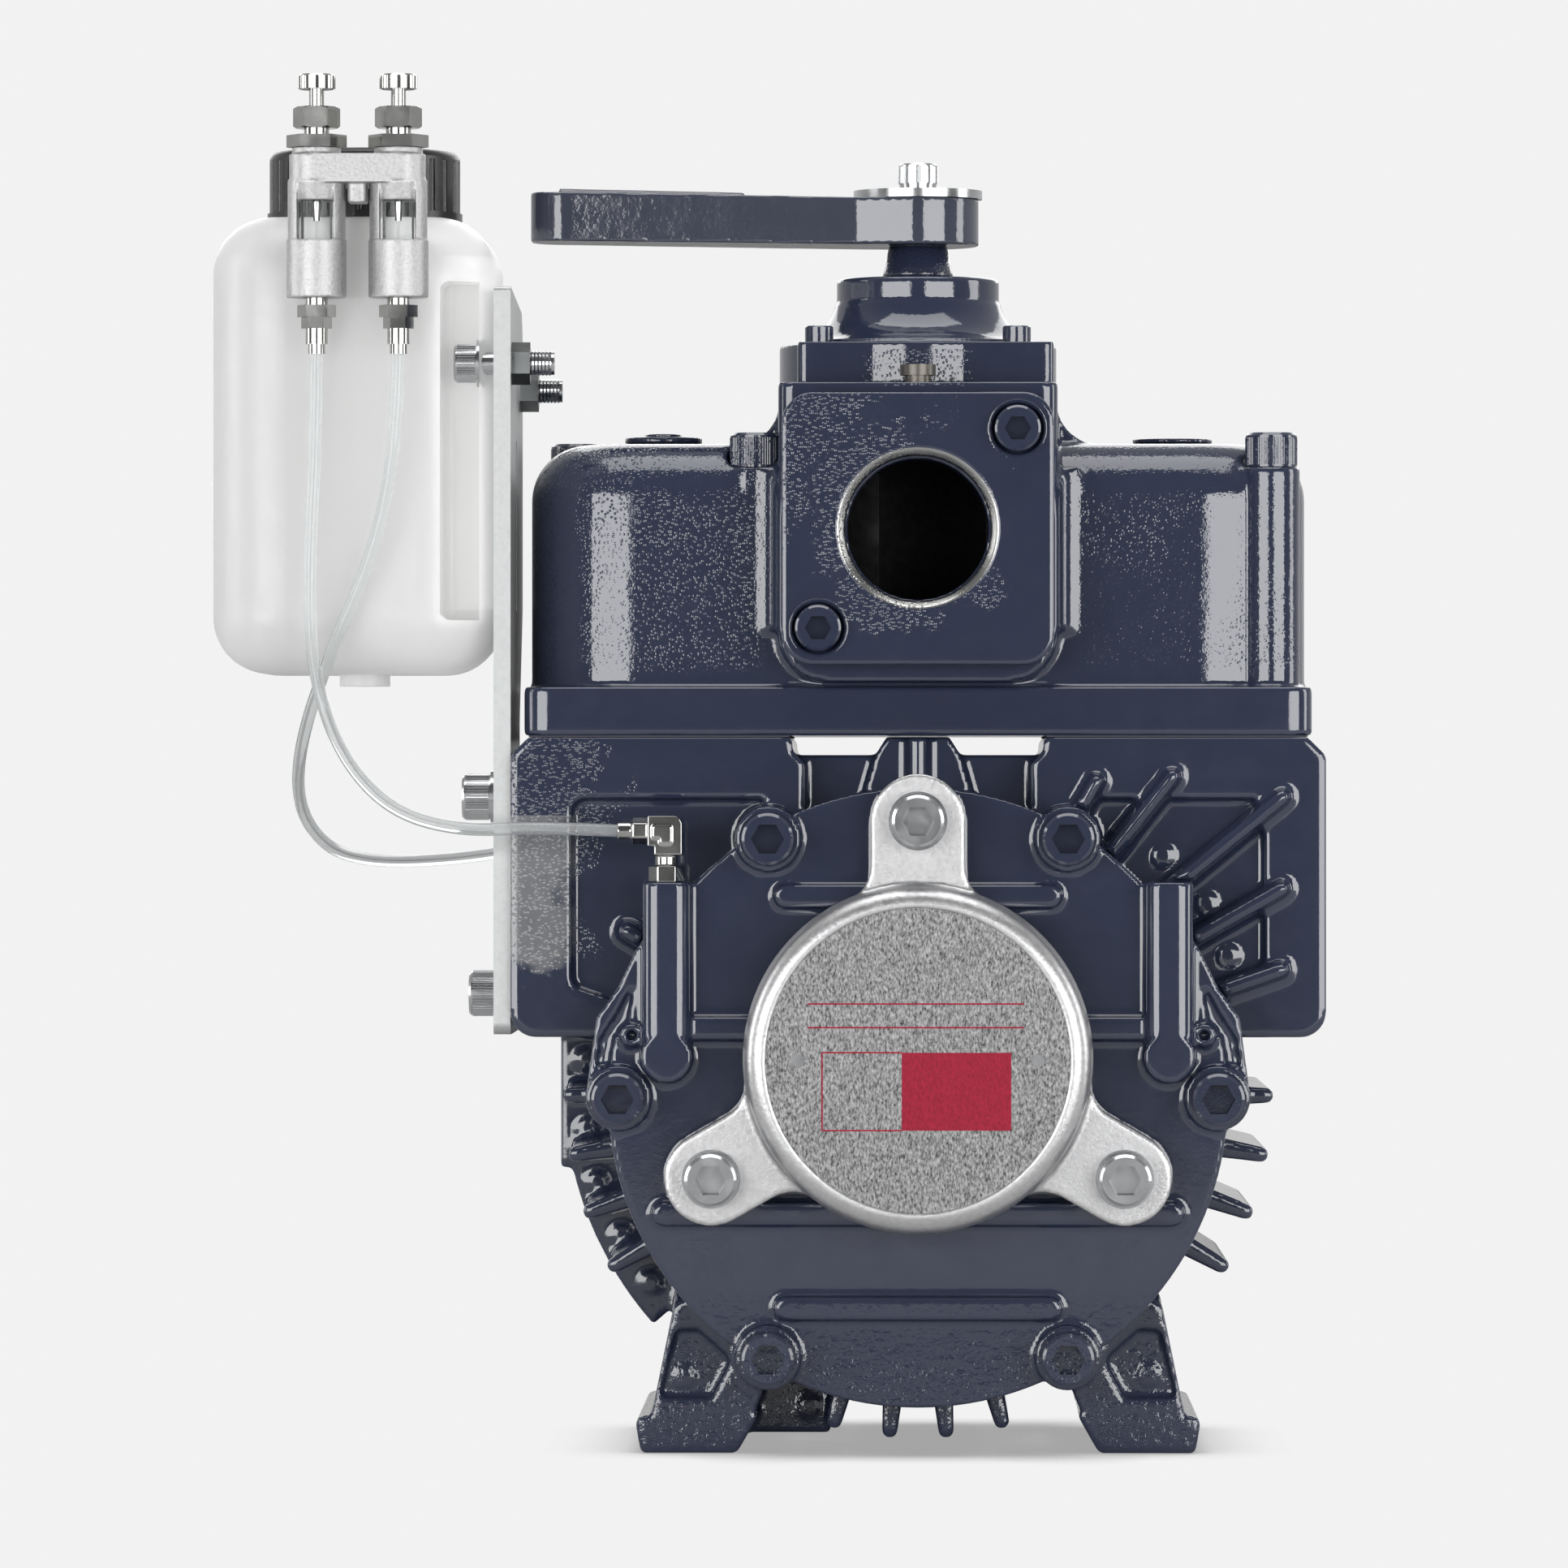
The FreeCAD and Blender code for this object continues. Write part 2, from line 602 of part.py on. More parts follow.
def capsule(p, q, width, y):
    """The outline of a bar with round ends between two (x, z) points."""
    r = width / 2
    along = V(q[0] - p[0], 0, q[1] - p[1]).normalize()
    across = V(-along.z, 0, along.x) * r
    a = V(p[0], y, p[1])
    b = V(q[0], y, q[1])
    return Part.Wire([Part.LineSegment(a + across, b + across).toShape(),
                      Part.Arc(b + across, b + along * r, b - across).toShape(),
                      Part.LineSegment(b - across, a - across).toShape(),
                      Part.Arc(a - across, a - along * r, a + across).toShape()])


def capsule_y(p, q, width, y0, y1):
    """A bar with round ends between two (x, z) points, extruded along Y."""
    return Part.Face(capsule(p, q, width, y0)).extrude(V(0, y1 - y0, 0))


def revolve(points, origin, axis):
    """Turns (radius, height) points about an axis through the origin."""
    side = V(1, 0, 0) if abs(axis.x) < 0.5 else V(0, 0, 1)
    wire = Part.makePolygon([origin + side * r + axis * h for r, h in points + points[:1]])
    return Part.Face(wire).revolve(origin, axis, 360)


def regular(sides, flats, height):
    """An upright prism with a regular outline, its width across flats given."""
    r = flats / 2 / math.cos(math.pi / sides)
    points = [(r * math.cos(2 * math.pi * i / sides), r * math.sin(2 * math.pi * i / sides))
              for i in range(sides)]
    return prism_z(points, 0, height)


def stand(shape, origin, direction):
    """Turns an upright shape so that +Z lies along the direction, and moves it to the origin."""
    turned = shape.copy()
    turned.Placement = FreeCAD.Placement(V(*origin), FreeCAD.Rotation(V(0, 0, 1), V(*direction)))
    return turned


def socket_screw(size, length, origin, direction):
    """A cap screw whose head sits on the origin and points along the direction."""
    thread, head, height, key = size
    screw = Part.makeCylinder(head, height)
    rim = [e for e in screw.Edges if len(e.Vertexes) == 1 and e.BoundBox.ZMin > height / 2]
    screw = screw.makeChamfer(height * HEAD_CHAMFER, rim)
    screw = screw.fuse(rod_z(0, 0, thread, -length, 0))
    depth = height * SOCKET_SHARE
    socket = regular(NUT_SIDES, key, depth)
    socket.translate(V(0, 0, height - depth))
    return stand(screw.cut(socket), origin, direction)


def washer(inner, outer, thickness, origin, direction):
    ring = Part.makeCylinder(outer, thickness).cut(Part.makeCylinder(inner, thickness))
    return stand(ring, origin, direction)


def fused(shapes):
    first, *rest = shapes
    return first.multiFuse(rest).removeSplitter() if rest else first


def cut(shape, tools):
    return shape.cut(tools if len(tools) > 1 else tools[0])


def mirrored(shape):
    """The same piece on the rear end."""
    return shape.mirror(V(0, 0, 0), V(0, 1, 0))


def turned_about(shape):
    """The same piece half a turn round the upright axis."""
    copy = shape.copy()
    copy.rotate(V(0, 0, 0), V(0, 0, 1), 180)
    return copy


def cover_screw_places():
    return [polar(60 * i, COVER_SCREW_PCD_R) for i in range(6)]


def cap_screw_places():
    return [polar(90 + 120 * i, CAP_SCREW_PCD_R, ROTOR_Z) for i in range(3)]


def stay_places():
    """The four long screws: outer front right, inner front left and the same from the rear."""
    return [(STAY_X_OUT, -STAY_Y_OUT), (-STAY_X_IN, -STAY_Y_IN),
            (-STAY_X_OUT, STAY_Y_OUT), (STAY_X_IN, STAY_Y_IN)]


def box_outline(side):
    """One upper chamber of the housing, seen from the front."""
    w = BOX_HALF_W
    low = BOX_INNER_X - BOX_INNER_STEP
    points = [(BOX_INNER_X, BOX_TOP), (w - BOX_CHAMFER, BOX_TOP), (w, BOX_TOP - BOX_CHAMFER),
              (w, BOX_BOTTOM), (BARREL_R * 0.8, BOX_BOTTOM), (low, CYL_Z + BARREL_R * 0.8),
              (low, BOX_TOP - BOX_STEP_DROP - BOX_STEP_H), (BOX_INNER_X, BOX_TOP - BOX_STEP_DROP)]
    radii = [2, 2, 2, BOX_LOW_R, 0, 0, 1.5, 2]
    return [(x * side, z) for x, z in points], radii


def radial_fin(angle, outer, half_depth):
    """A cooling fin that stands out from the barrel and narrows to a round tip."""
    root, tip = FIN_T / 2, FIN_TIP_T / 2
    outline = []
    for r, half in ((BARREL_R - FIN_ROOT, -root), (outer, -tip), (outer, tip), (BARREL_R - FIN_ROOT, root)):
        a = math.radians(angle)
        outline.append((r * math.cos(a) - half * math.sin(a), CYL_Z + r * math.sin(a) + half * math.cos(a)))
    return prism_y(outline, -half_depth, half_depth, [0, tip * 0.95, tip * 0.95, 0])


def front_rib(angle, reach):
    """A rib on a chamber's front face, its crest narrower than its foot and clear of the cover."""
    start, end = polar(angle, BARREL_R), polar(angle, BARREL_R + reach - FRONT_RIB_W / 2)
    rib = Part.makeLoft([capsule(start, end, FRONT_RIB_W, -POCKET_FLOOR_Y + 1),
                         capsule(start, end, FRONT_RIB_CREST_W, -BOX_HALF_D - FRONT_RIB_RISE)], True, True)
    y0, y1 = -BOX_HALF_D - FRONT_RIB_RISE - 1, -HALF + COVER_GAP
    half = GALLERY_W / 2 + COVER_CLEAR
    galleries = [box(x - half, x + half, y0, y1, GALLERY_FOOT, GALLERY_TOP + COVER_CLEAR)
                 for x in (-GALLERY_X, GALLERY_X)]
    return cut(rib, [cover_outline(y0, y1, COVER_CLEAR)] + galleries)


def foot(side):
    """A foot rail with its two legs and the wall between them."""
    toe_x, toe_z = FOOT_TOE
    step_x, step_z = FOOT_TOE_STEP
    rail = prism_y([(x * side, z) for x, z in ((FOOT_IN, 0), (FOOT_OUT - FOOT_BEVEL, 0), (FOOT_OUT, FOOT_T),
                                               (FOOT_IN + toe_x, FOOT_T), (FOOT_IN - step_x, step_z))],
                   -FOOT_HALF_D, FOOT_HALF_D, [1.5, 1.5, 3, 0, 1.5])
    leg = [(FOOT_IN - 2, step_z), (FOOT_OUT - 5, FOOT_T - 3), (FOOT_OUT - 7, FOOT_T + 5),
           polar(LEG_HIP[0], BARREL_R + LEG_HIP[1]), polar(LEG_BACK[0], BARREL_R + LEG_BACK[1]),
           polar(LEG_GROIN[0], BARREL_R + LEG_GROIN[1]), (FOOT_IN + toe_x - 2, toe_z)]
    front = prism_y([(x * side, z) for x, z in leg], -FOOT_HALF_D, -FOOT_HALF_D + LEG_D)
    panel = [((FOOT_HOLE_X + x) * side, z) for x, z in LEG_PANEL]
    front = front.cut(prism_y(panel, -FOOT_HALF_D, -FOOT_HALF_D + LEG_PANEL_DEPTH, 2))
    hip_x, hip_z = polar(LEG_HIP[0], BARREL_R + LEG_HIP[1])
    slope = ((FOOT_OUT - 6 - LEG_WALL, FOOT_T - 2), (FOOT_OUT - 6, FOOT_T - 2),
             (hip_x, hip_z + 2), (hip_x - LEG_WALL, hip_z + 8))
    wall = prism_y([(x * side, z) for x, z in slope],
                   -FOOT_HALF_D + LEG_D - 1, FOOT_HALF_D - LEG_D + 1)
    holes = [rod_z(FOOT_HOLE_X * side, y * FOOT_HOLE_Y, FOOT_HOLE_R, -1, FOOT_T + 1) for y in (-1, 1)]
    recess = [rod_z(FOOT_HOLE_X * side, y * FOOT_HOLE_Y, SPOT_FACE_R, FOOT_T, 70) for y in (-1, 1)]
    return cut(fused([rail, front, mirrored(front), wall]), holes + recess)


def marks():
    """The small round ejector marks left in the casting's front pockets, walls and legs."""
    places = [(POCKET_MARKS, -POCKET_FLOOR_Y), (WALL_MARKS, SIDE_WALL_FRONT), ((WEB_MARK,), WEB_FRONT)]
    return [rod_y(x, z, MARK_R, y - MARK_RISE, y + 1) for group, y in places for x, z in group]


def housing():
    """The cast cylinder with its two upper chambers, fins, lugs and feet."""
    solids = [rod_y(0, CYL_Z, BARREL_R, -HALF, HALF)]
    for side in (-1, 1):
        outline, radii = box_outline(side)
        chamber = prism_y(outline, -BOX_HALF_D, BOX_HALF_D, radii)
        recess = [(POCKET_INNER_X, POCKET_BOTTOM - POCKET_FALL), (POCKET_OUTER_X, POCKET_BOTTOM),
                  (POCKET_OUTER_X, POCKET_TOP), (POCKET_INNER_X, POCKET_TOP)]
        pocket = prism_y([(x * side, z) for x, z in recess], -BOX_HALF_D, -POCKET_FLOOR_Y, POCKET_CORNER_R)
        solids.append(cut(chamber, [pocket, mirrored(pocket)]))
        solids.append(foot(side))
    for angle, reach in FRONT_RIBS_RIGHT + FRONT_RIBS_LEFT:
        rib = front_rib(angle, reach)
        solids += [rib, turned_about(rib)]
    for i in range(SIDE_FINS):
        for angle in (-FIN_STEP * i, 180 + FIN_STEP * i):
            solids.append(radial_fin(angle, FIN_R, FIN_HALF_D))
        solids.append(radial_fin(-90 + BELLY_STEP * (i - 1.5), BELLY_FIN_R, FIN_HALF_D))
    for x, z in cover_screw_places():
        solids.append(rod_y(x, z, COVER_BOSS_R, -HALF, HALF))
    barrel_top = CYL_Z + BARREL_R
    saddle = box(-BOX_INNER_X - 4, BOX_INNER_X + 4, -SADDLE_HALF_D, SADDLE_HALF_D,
                 barrel_top - 10, SADDLE_TOP)
    neck, root = POST_HALF_W + POST_FLARE, POST_HALF_W + POST_FOOT_FLARE
    post = prism_y([(-POST_HALF_W, BOX_TOP), (POST_HALF_W, BOX_TOP), (neck, SADDLE_TOP),
                    (root, barrel_top - 4), (-root, barrel_top - 4), (-neck, SADDLE_TOP)],
                   -POST_FRONT + POST_ROUND_R, POST_FRONT - POST_ROUND_R)
    round_post = rod_z(0, -POST_FRONT + POST_ROUND_R, POST_ROUND_R, barrel_top - 6, BOX_TOP)
    solids += [saddle, post, round_post, mirrored(round_post)]
    foot_x, foot_z = RING_FOOT
    ring = rod_y(0, CYL_Z, RING_R, SIDE_WALL_FRONT, FIN_HALF_D)
    ring = ring.common(prism_y([(0, CYL_Z), (-RING_R - 1, CYL_Z), (-RING_R - 1, SIDE_WALL_BOTTOM),
                                (foot_x, CYL_Z + foot_z)], SIDE_WALL_FRONT, FIN_HALF_D))
    side_wall = box(-SIDE_WALL_X, -BARREL_R * 0.8, SIDE_WALL_FRONT, FIN_HALF_D,
                    SIDE_WALL_BOTTOM, BOX_BOTTOM + 2)
    web = box(-FOOT_IN, -WEB_X, WEB_FRONT, WEB_FRONT + WEB_T, WEB_LOW, CYL_Z - BARREL_R * 0.95)
    solids += [ring, side_wall, web] + marks()
    for x, z in LEG_MARKS:
        floor = -FOOT_HALF_D + LEG_PANEL_DEPTH
        solids.append(rod_y(x, z, MARK_R, floor - MARK_RISE, floor + 1))
    body = fused(solids)

    tools = [rod_y(0, CYL_Z, BORE_R, -HALF - 1, HALF + 1)]
    for side in (-1, 1):
        inner = [(x * side, z) for x, z in ((BOX_INNER_X + BOX_WALL, BOX_TOP + 1),
                                            (BOX_HALF_W - BOX_WALL, BOX_TOP + 1),
                                            (BOX_HALF_W - BOX_WALL, BOX_BOTTOM + BOX_WALL),
                                            (BOX_INNER_X + BOX_WALL, BOX_BOTTOM + BOX_WALL))]
        depth = POCKET_FLOOR_Y - BOX_WALL
        cavity = prism_y(inner, -depth, depth, [0, 0, 6, 0])
        keep = [rod_y(0, CYL_Z, BARREL_R, -HALF, HALF)]
        for x, y in stay_places():
            if x * side > 0:
                keep.append(rod_z(x, y, STAY_BOSS_R + 2, BOX_BOTTOM, BOX_TOP + 1))
        tools.append(cut(cavity, keep))
        for y in (-SLOT_PITCH, 0, SLOT_PITCH):
            angle = 90 - SLOT_ANGLE * side
            tools.append(capsule_y(polar(angle, BORE_R - 6), polar(angle, BARREL_R + 12), SLOT_W,
                                   y - SLOT_HALF, y + SLOT_HALF))
    for x, z in cover_screw_places():
        for end in (-1, 1):
            y0, y1 = sorted((end * (HALF + 1), end * (HALF - COVER_SCREW_GRIP - 8)))
            tools.append(rod_y(x, z, M12[0] + FIT_GAP, y0, y1))
    for x, y in stay_places():
        tools.append(rod_z(x, y, M12[0] + FIT_GAP, BOX_TOP - STAY_DEPTH - 2, BOX_TOP + 1))
    for y, z in PLATE_SCREWS:
        tools.append(rod_x(y, z, M10[0] + FIT_GAP, -BOX_HALF_W - 1, -BOX_HALF_W + PLATE_SCREW_GRIP + 1))
    return cut(body, tools)


def cover_outline(y0, y1, grow=0.0):
    """The cover's plate: a disc, six screw lobes and an ear above each side lobe."""
    parts = [rod_y(0, CYL_Z, COVER_R + grow, y0, y1)]
    parts += [rod_y(x, z, COVER_BOSS_R + grow, y0, y1) for x, z in cover_screw_places()]
    for side in (-1, 1):
        for dx, dz in ((grow, 0), (-grow, 0), (0, grow), (0, -grow)) if grow else ((0, 0),):
            ear = [((COVER_R + x + dx) * side, CYL_Z + z + dz) for x, z in EAR]
            parts.append(prism_y(ear, y0, y1, list(EAR_ROUNDS)))
    return fused(parts)


def cap_plan(y0, y1, grow=0.0):
    """The three-lobed plan of a bearing cap, its inner corners filled by large curves."""
    parts = [rod_y(0, ROTOR_Z, CAP_R + grow, y0, y1)]
    for x, z in cap_screw_places():
        parts.append(capsule_y((0, ROTOR_Z), (x, z), 2 * (CAP_LOBE_R + grow), y0, y1))
    plan = fused(parts)
    corners = []
    for edge in plan.Edges:
        low, high = edge.BoundBox, edge.CenterOfMass
        upright = abs(low.YLength - (y1 - y0)) < 1e-3 and low.XLength < 1e-3 and low.ZLength < 1e-3
        reach = math.hypot(high.x, high.z - ROTOR_Z)
        if upright and abs(reach - CAP_R - grow) < 0.5:
            corners.append(edge)
    return plan.makeFillet(CAP_FILLET_R, corners)


def front_cover():
    """An end cover with its ribs, oil galleries, screw bosses and cap pad."""
    face = -COVER_FACE
    solids = [cover_outline(face, -COVER_BACK)]
    solids.append(cap_plan(-PAD_FACE, face + 1, -CAP_PAD_INSET))
    for x, z in cover_screw_places():
        solids.append(rod_y(x, z, COVER_BOSS_R, face - COVER_BOSS_RISE, face + 1))
    for reach, rise in RIBS:
        z = CYL_Z + rise
        solids.append(capsule_y((-reach + RIB_W / 2, z), (reach - RIB_W / 2, z), RIB_W,
                                face - RIB_RISE, face + 1))
    tools = [rod_y(0, ROTOR_Z, BEARING_OUTER_R, -PAD_FACE - 1, -BEARING_BACK),
             rod_y(0, ROTOR_Z, SHAFT_CORE_R + 1.5, -BEARING_BACK - 1, -COVER_BACK + 1)]
    for side in (-1, 1):
        x = GALLERY_X * side
        half = GALLERY_W / 2
        column = prism_z([(x - half, -COVER_BACK), (x + half, -COVER_BACK),
                          (x + half, face - GALLERY_RISE), (x - half, face - GALLERY_RISE)],
                         GALLERY_FOOT, GALLERY_TOP, [0, 0, GALLERY_CORNER_R, GALLERY_CORNER_R])
        bulb = rod_y(x, GALLERY_FOOT, half + GALLERY_BULB, face - GALLERY_RISE, face + 1)
        boss_x, boss_z = (COVER_R + EAR_BOSS[0]) * side, CYL_Z + EAR_BOSS[1]
        ear_boss = rod_y(boss_x, boss_z, EAR_BOSS_R, face - EAR_BOSS_RISE, face + 1)
        solids += [column, bulb, ear_boss]
        recess = prism_y([((COVER_R + px) * side, CYL_Z + pz) for px, pz in EAR_RECESS],
                         face - 1, face + EAR_RECESS_DEPTH, 0.8)
        tools += [recess, rod_y(boss_x, boss_z, EAR_HOLE_R, face - EAR_BOSS_RISE - 1,
                                face - EAR_BOSS_RISE + EAR_HOLE_DEPTH)]
    cover = fused(solids)
    for x, z in cover_screw_places():
        tools.append(rod_y(x, z, M12[0] + FIT_GAP, face - 10, -COVER_BACK + 1))
    for x, z in cap_screw_places():
        tools.append(rod_y(x, z, M12[0] + FIT_GAP, -PAD_FACE - 1, face + THREAD_GRIP))
    tools.append(rod_z(-GALLERY_X, face - ELBOW_INSET, GALLERY_HOLE_R, GALLERY_TOP - GALLERY_HOLE_DEPTH,
                       GALLERY_TOP + 1))
    return cut(cover, tools)


def cap_body(bore_r):
    """A bearing cap from its seat to its rolled edge, open at the bearing side."""
    r, d, e = CAP_R, CAP_DEPTH, CAP_EDGE_R
    origin = V(0, -PAD_FACE, ROTOR_Z)
    rim = [V(r + CAP_DRAFT, 0, 0), V(r, 0, d - e)]
    centre = V(r - e, 0, d - e)
    seat_r, seat = LABEL_R + LABEL_GAP, d - LABEL_T
    stops = [V(r - e, 0, d), V(seat_r, 0, d), V(seat_r, 0, seat), V(0, 0, seat), V(0, 0, 0)]
    profile = [Part.LineSegment(stops[-1], rim[0]).toShape(),
               Part.LineSegment(rim[0], rim[1]).toShape(),
               Part.Arc(rim[1], centre + V(e * 0.7071, 0, e * 0.7071), stops[0]).toShape()]
    profile += [Part.LineSegment(a, b).toShape() for a, b in zip(stops, stops[1:])]
    dome = Part.Face(Part.Wire(profile)).revolve(V(0, 0, 0), V(0, 0, 1), 360)
    dome = stand(dome, (origin.x, origin.y, origin.z), (0, -1, 0))
    lobes = cap_plan(-PAD_FACE - CAP_LOBE_T, -PAD_FACE)
    body = fused([dome, lobes])
    tools = [rod_y(0, ROTOR_Z, bore_r, -CAP_FACE + CAP_WALL, -PAD_FACE + 1)]
    for x, z in cap_screw_places():
        tools.append(rod_y(x, z, M12[0] + FIT_GAP, -PAD_FACE - CAP_LOBE_T - 1, -PAD_FACE + 1))
    return cut(body, tools)


def front_cap():
    body = cap_body(CAP_BORE_R)
    rivets = [rod_y(x * LABEL_RIVET_X, ROTOR_Z, RIVET_R, -CAP_FACE - 1, -CAP_FACE + CAP_WALL)
              for x in (-1, 1)]
    return cut(body, rivets)


def rear_cap():
    """The drive-end cap, with a pocket for the shaft seal in place of a closed end."""
    body = mirrored(cap_body(CAP_BORE_R))
    return cut(body, [rod_y(0, ROTOR_Z, SEAL_R, CAP_FACE - LABEL_T - SEAL_T, CAP_FACE + 1),
                      rod_y(0, ROTOR_Z, SHAFT_SEAL_R + 2.5, PAD_FACE, CAP_FACE)])


def shaft():
    """The stepped drive shaft, with a keyway at its free end."""
    end = CAP_FACE + SHAFT_END_LENGTH
    core = [rod_y(0, ROTOR_Z, SHAFT_CORE_R, -BEARING_BACK, BEARING_BACK),
            rod_y(0, ROTOR_Z, BEARING_INNER_R, -PAD_FACE - 2, PAD_FACE + 3),
            rod_y(0, ROTOR_Z, SHAFT_SEAL_R, PAD_FACE, CAP_FACE + SHAFT_SEAL_REACH),
            rod_y(0, ROTOR_Z, SHAFT_END_R, CAP_FACE, end)]
    body = fused(core)
    key = box(-KEY_WIDTH / 2, KEY_WIDTH / 2, end - KEY_LENGTH, end + 1,
              ROTOR_Z + SHAFT_END_R - KEY_DEPTH, ROTOR_Z + SHAFT_END_R + 1)
    return body.cut(key)


def vane_box(index, gap):
    """The space of one vane, set off the rotor's centre line as a trailing blade."""
    outer = math.sqrt(ROTOR_R ** 2 - (VANE_OFFSET + VANE_T / 2 + gap) ** 2)
    half = HALF - ROTOR_END_GAP + gap
    reach = outer if gap == 0 else ROTOR_R + 5
    blade = box(outer - VANE_DEPTH - gap, reach, -half, half,
                VANE_OFFSET - VANE_T / 2 - gap, VANE_OFFSET + VANE_T / 2 + gap)
    blade.rotate(V(0, 0, 0), V(0, 1, 0), 45 + 360.0 / VANE_COUNT * index)
    blade.translate(V(0, 0, ROTOR_Z))
    return blade


def rotor():
    half = HALF - ROTOR_END_GAP
    body = rod_y(0, ROTOR_Z, ROTOR_R, -half, half)
    tools = [vane_box(i, VANE_GAP) for i in range(VANE_COUNT)]
    tools.append(rod_y(0, ROTOR_Z, SHAFT_CORE_R, -half - 1, half + 1))
    return cut(body, tools)


def vanes():
    return Part.Compound([vane_box(i, 0.0) for i in range(VANE_COUNT)])


def race(inner, outer, end):
    y0, y1 = sorted((end * BEARING_BACK, end * PAD_FACE))
    return rod_y(0, ROTOR_Z, outer, y0, y1).cut(rod_y(0, ROTOR_Z, inner, y0, y1))


def rollers(end):
    y0, y1 = sorted((end * (BEARING_BACK + ROLLER_SETBACK), end * (PAD_FACE - ROLLER_SETBACK)))
    places = [polar(360.0 / ROLLER_COUNT * i, ROLLER_PITCH_R, ROTOR_Z) for i in range(ROLLER_COUNT)]
    return Part.Compound([rod_y(x, z, ROLLER_R, y0, y1) for x, z in places])


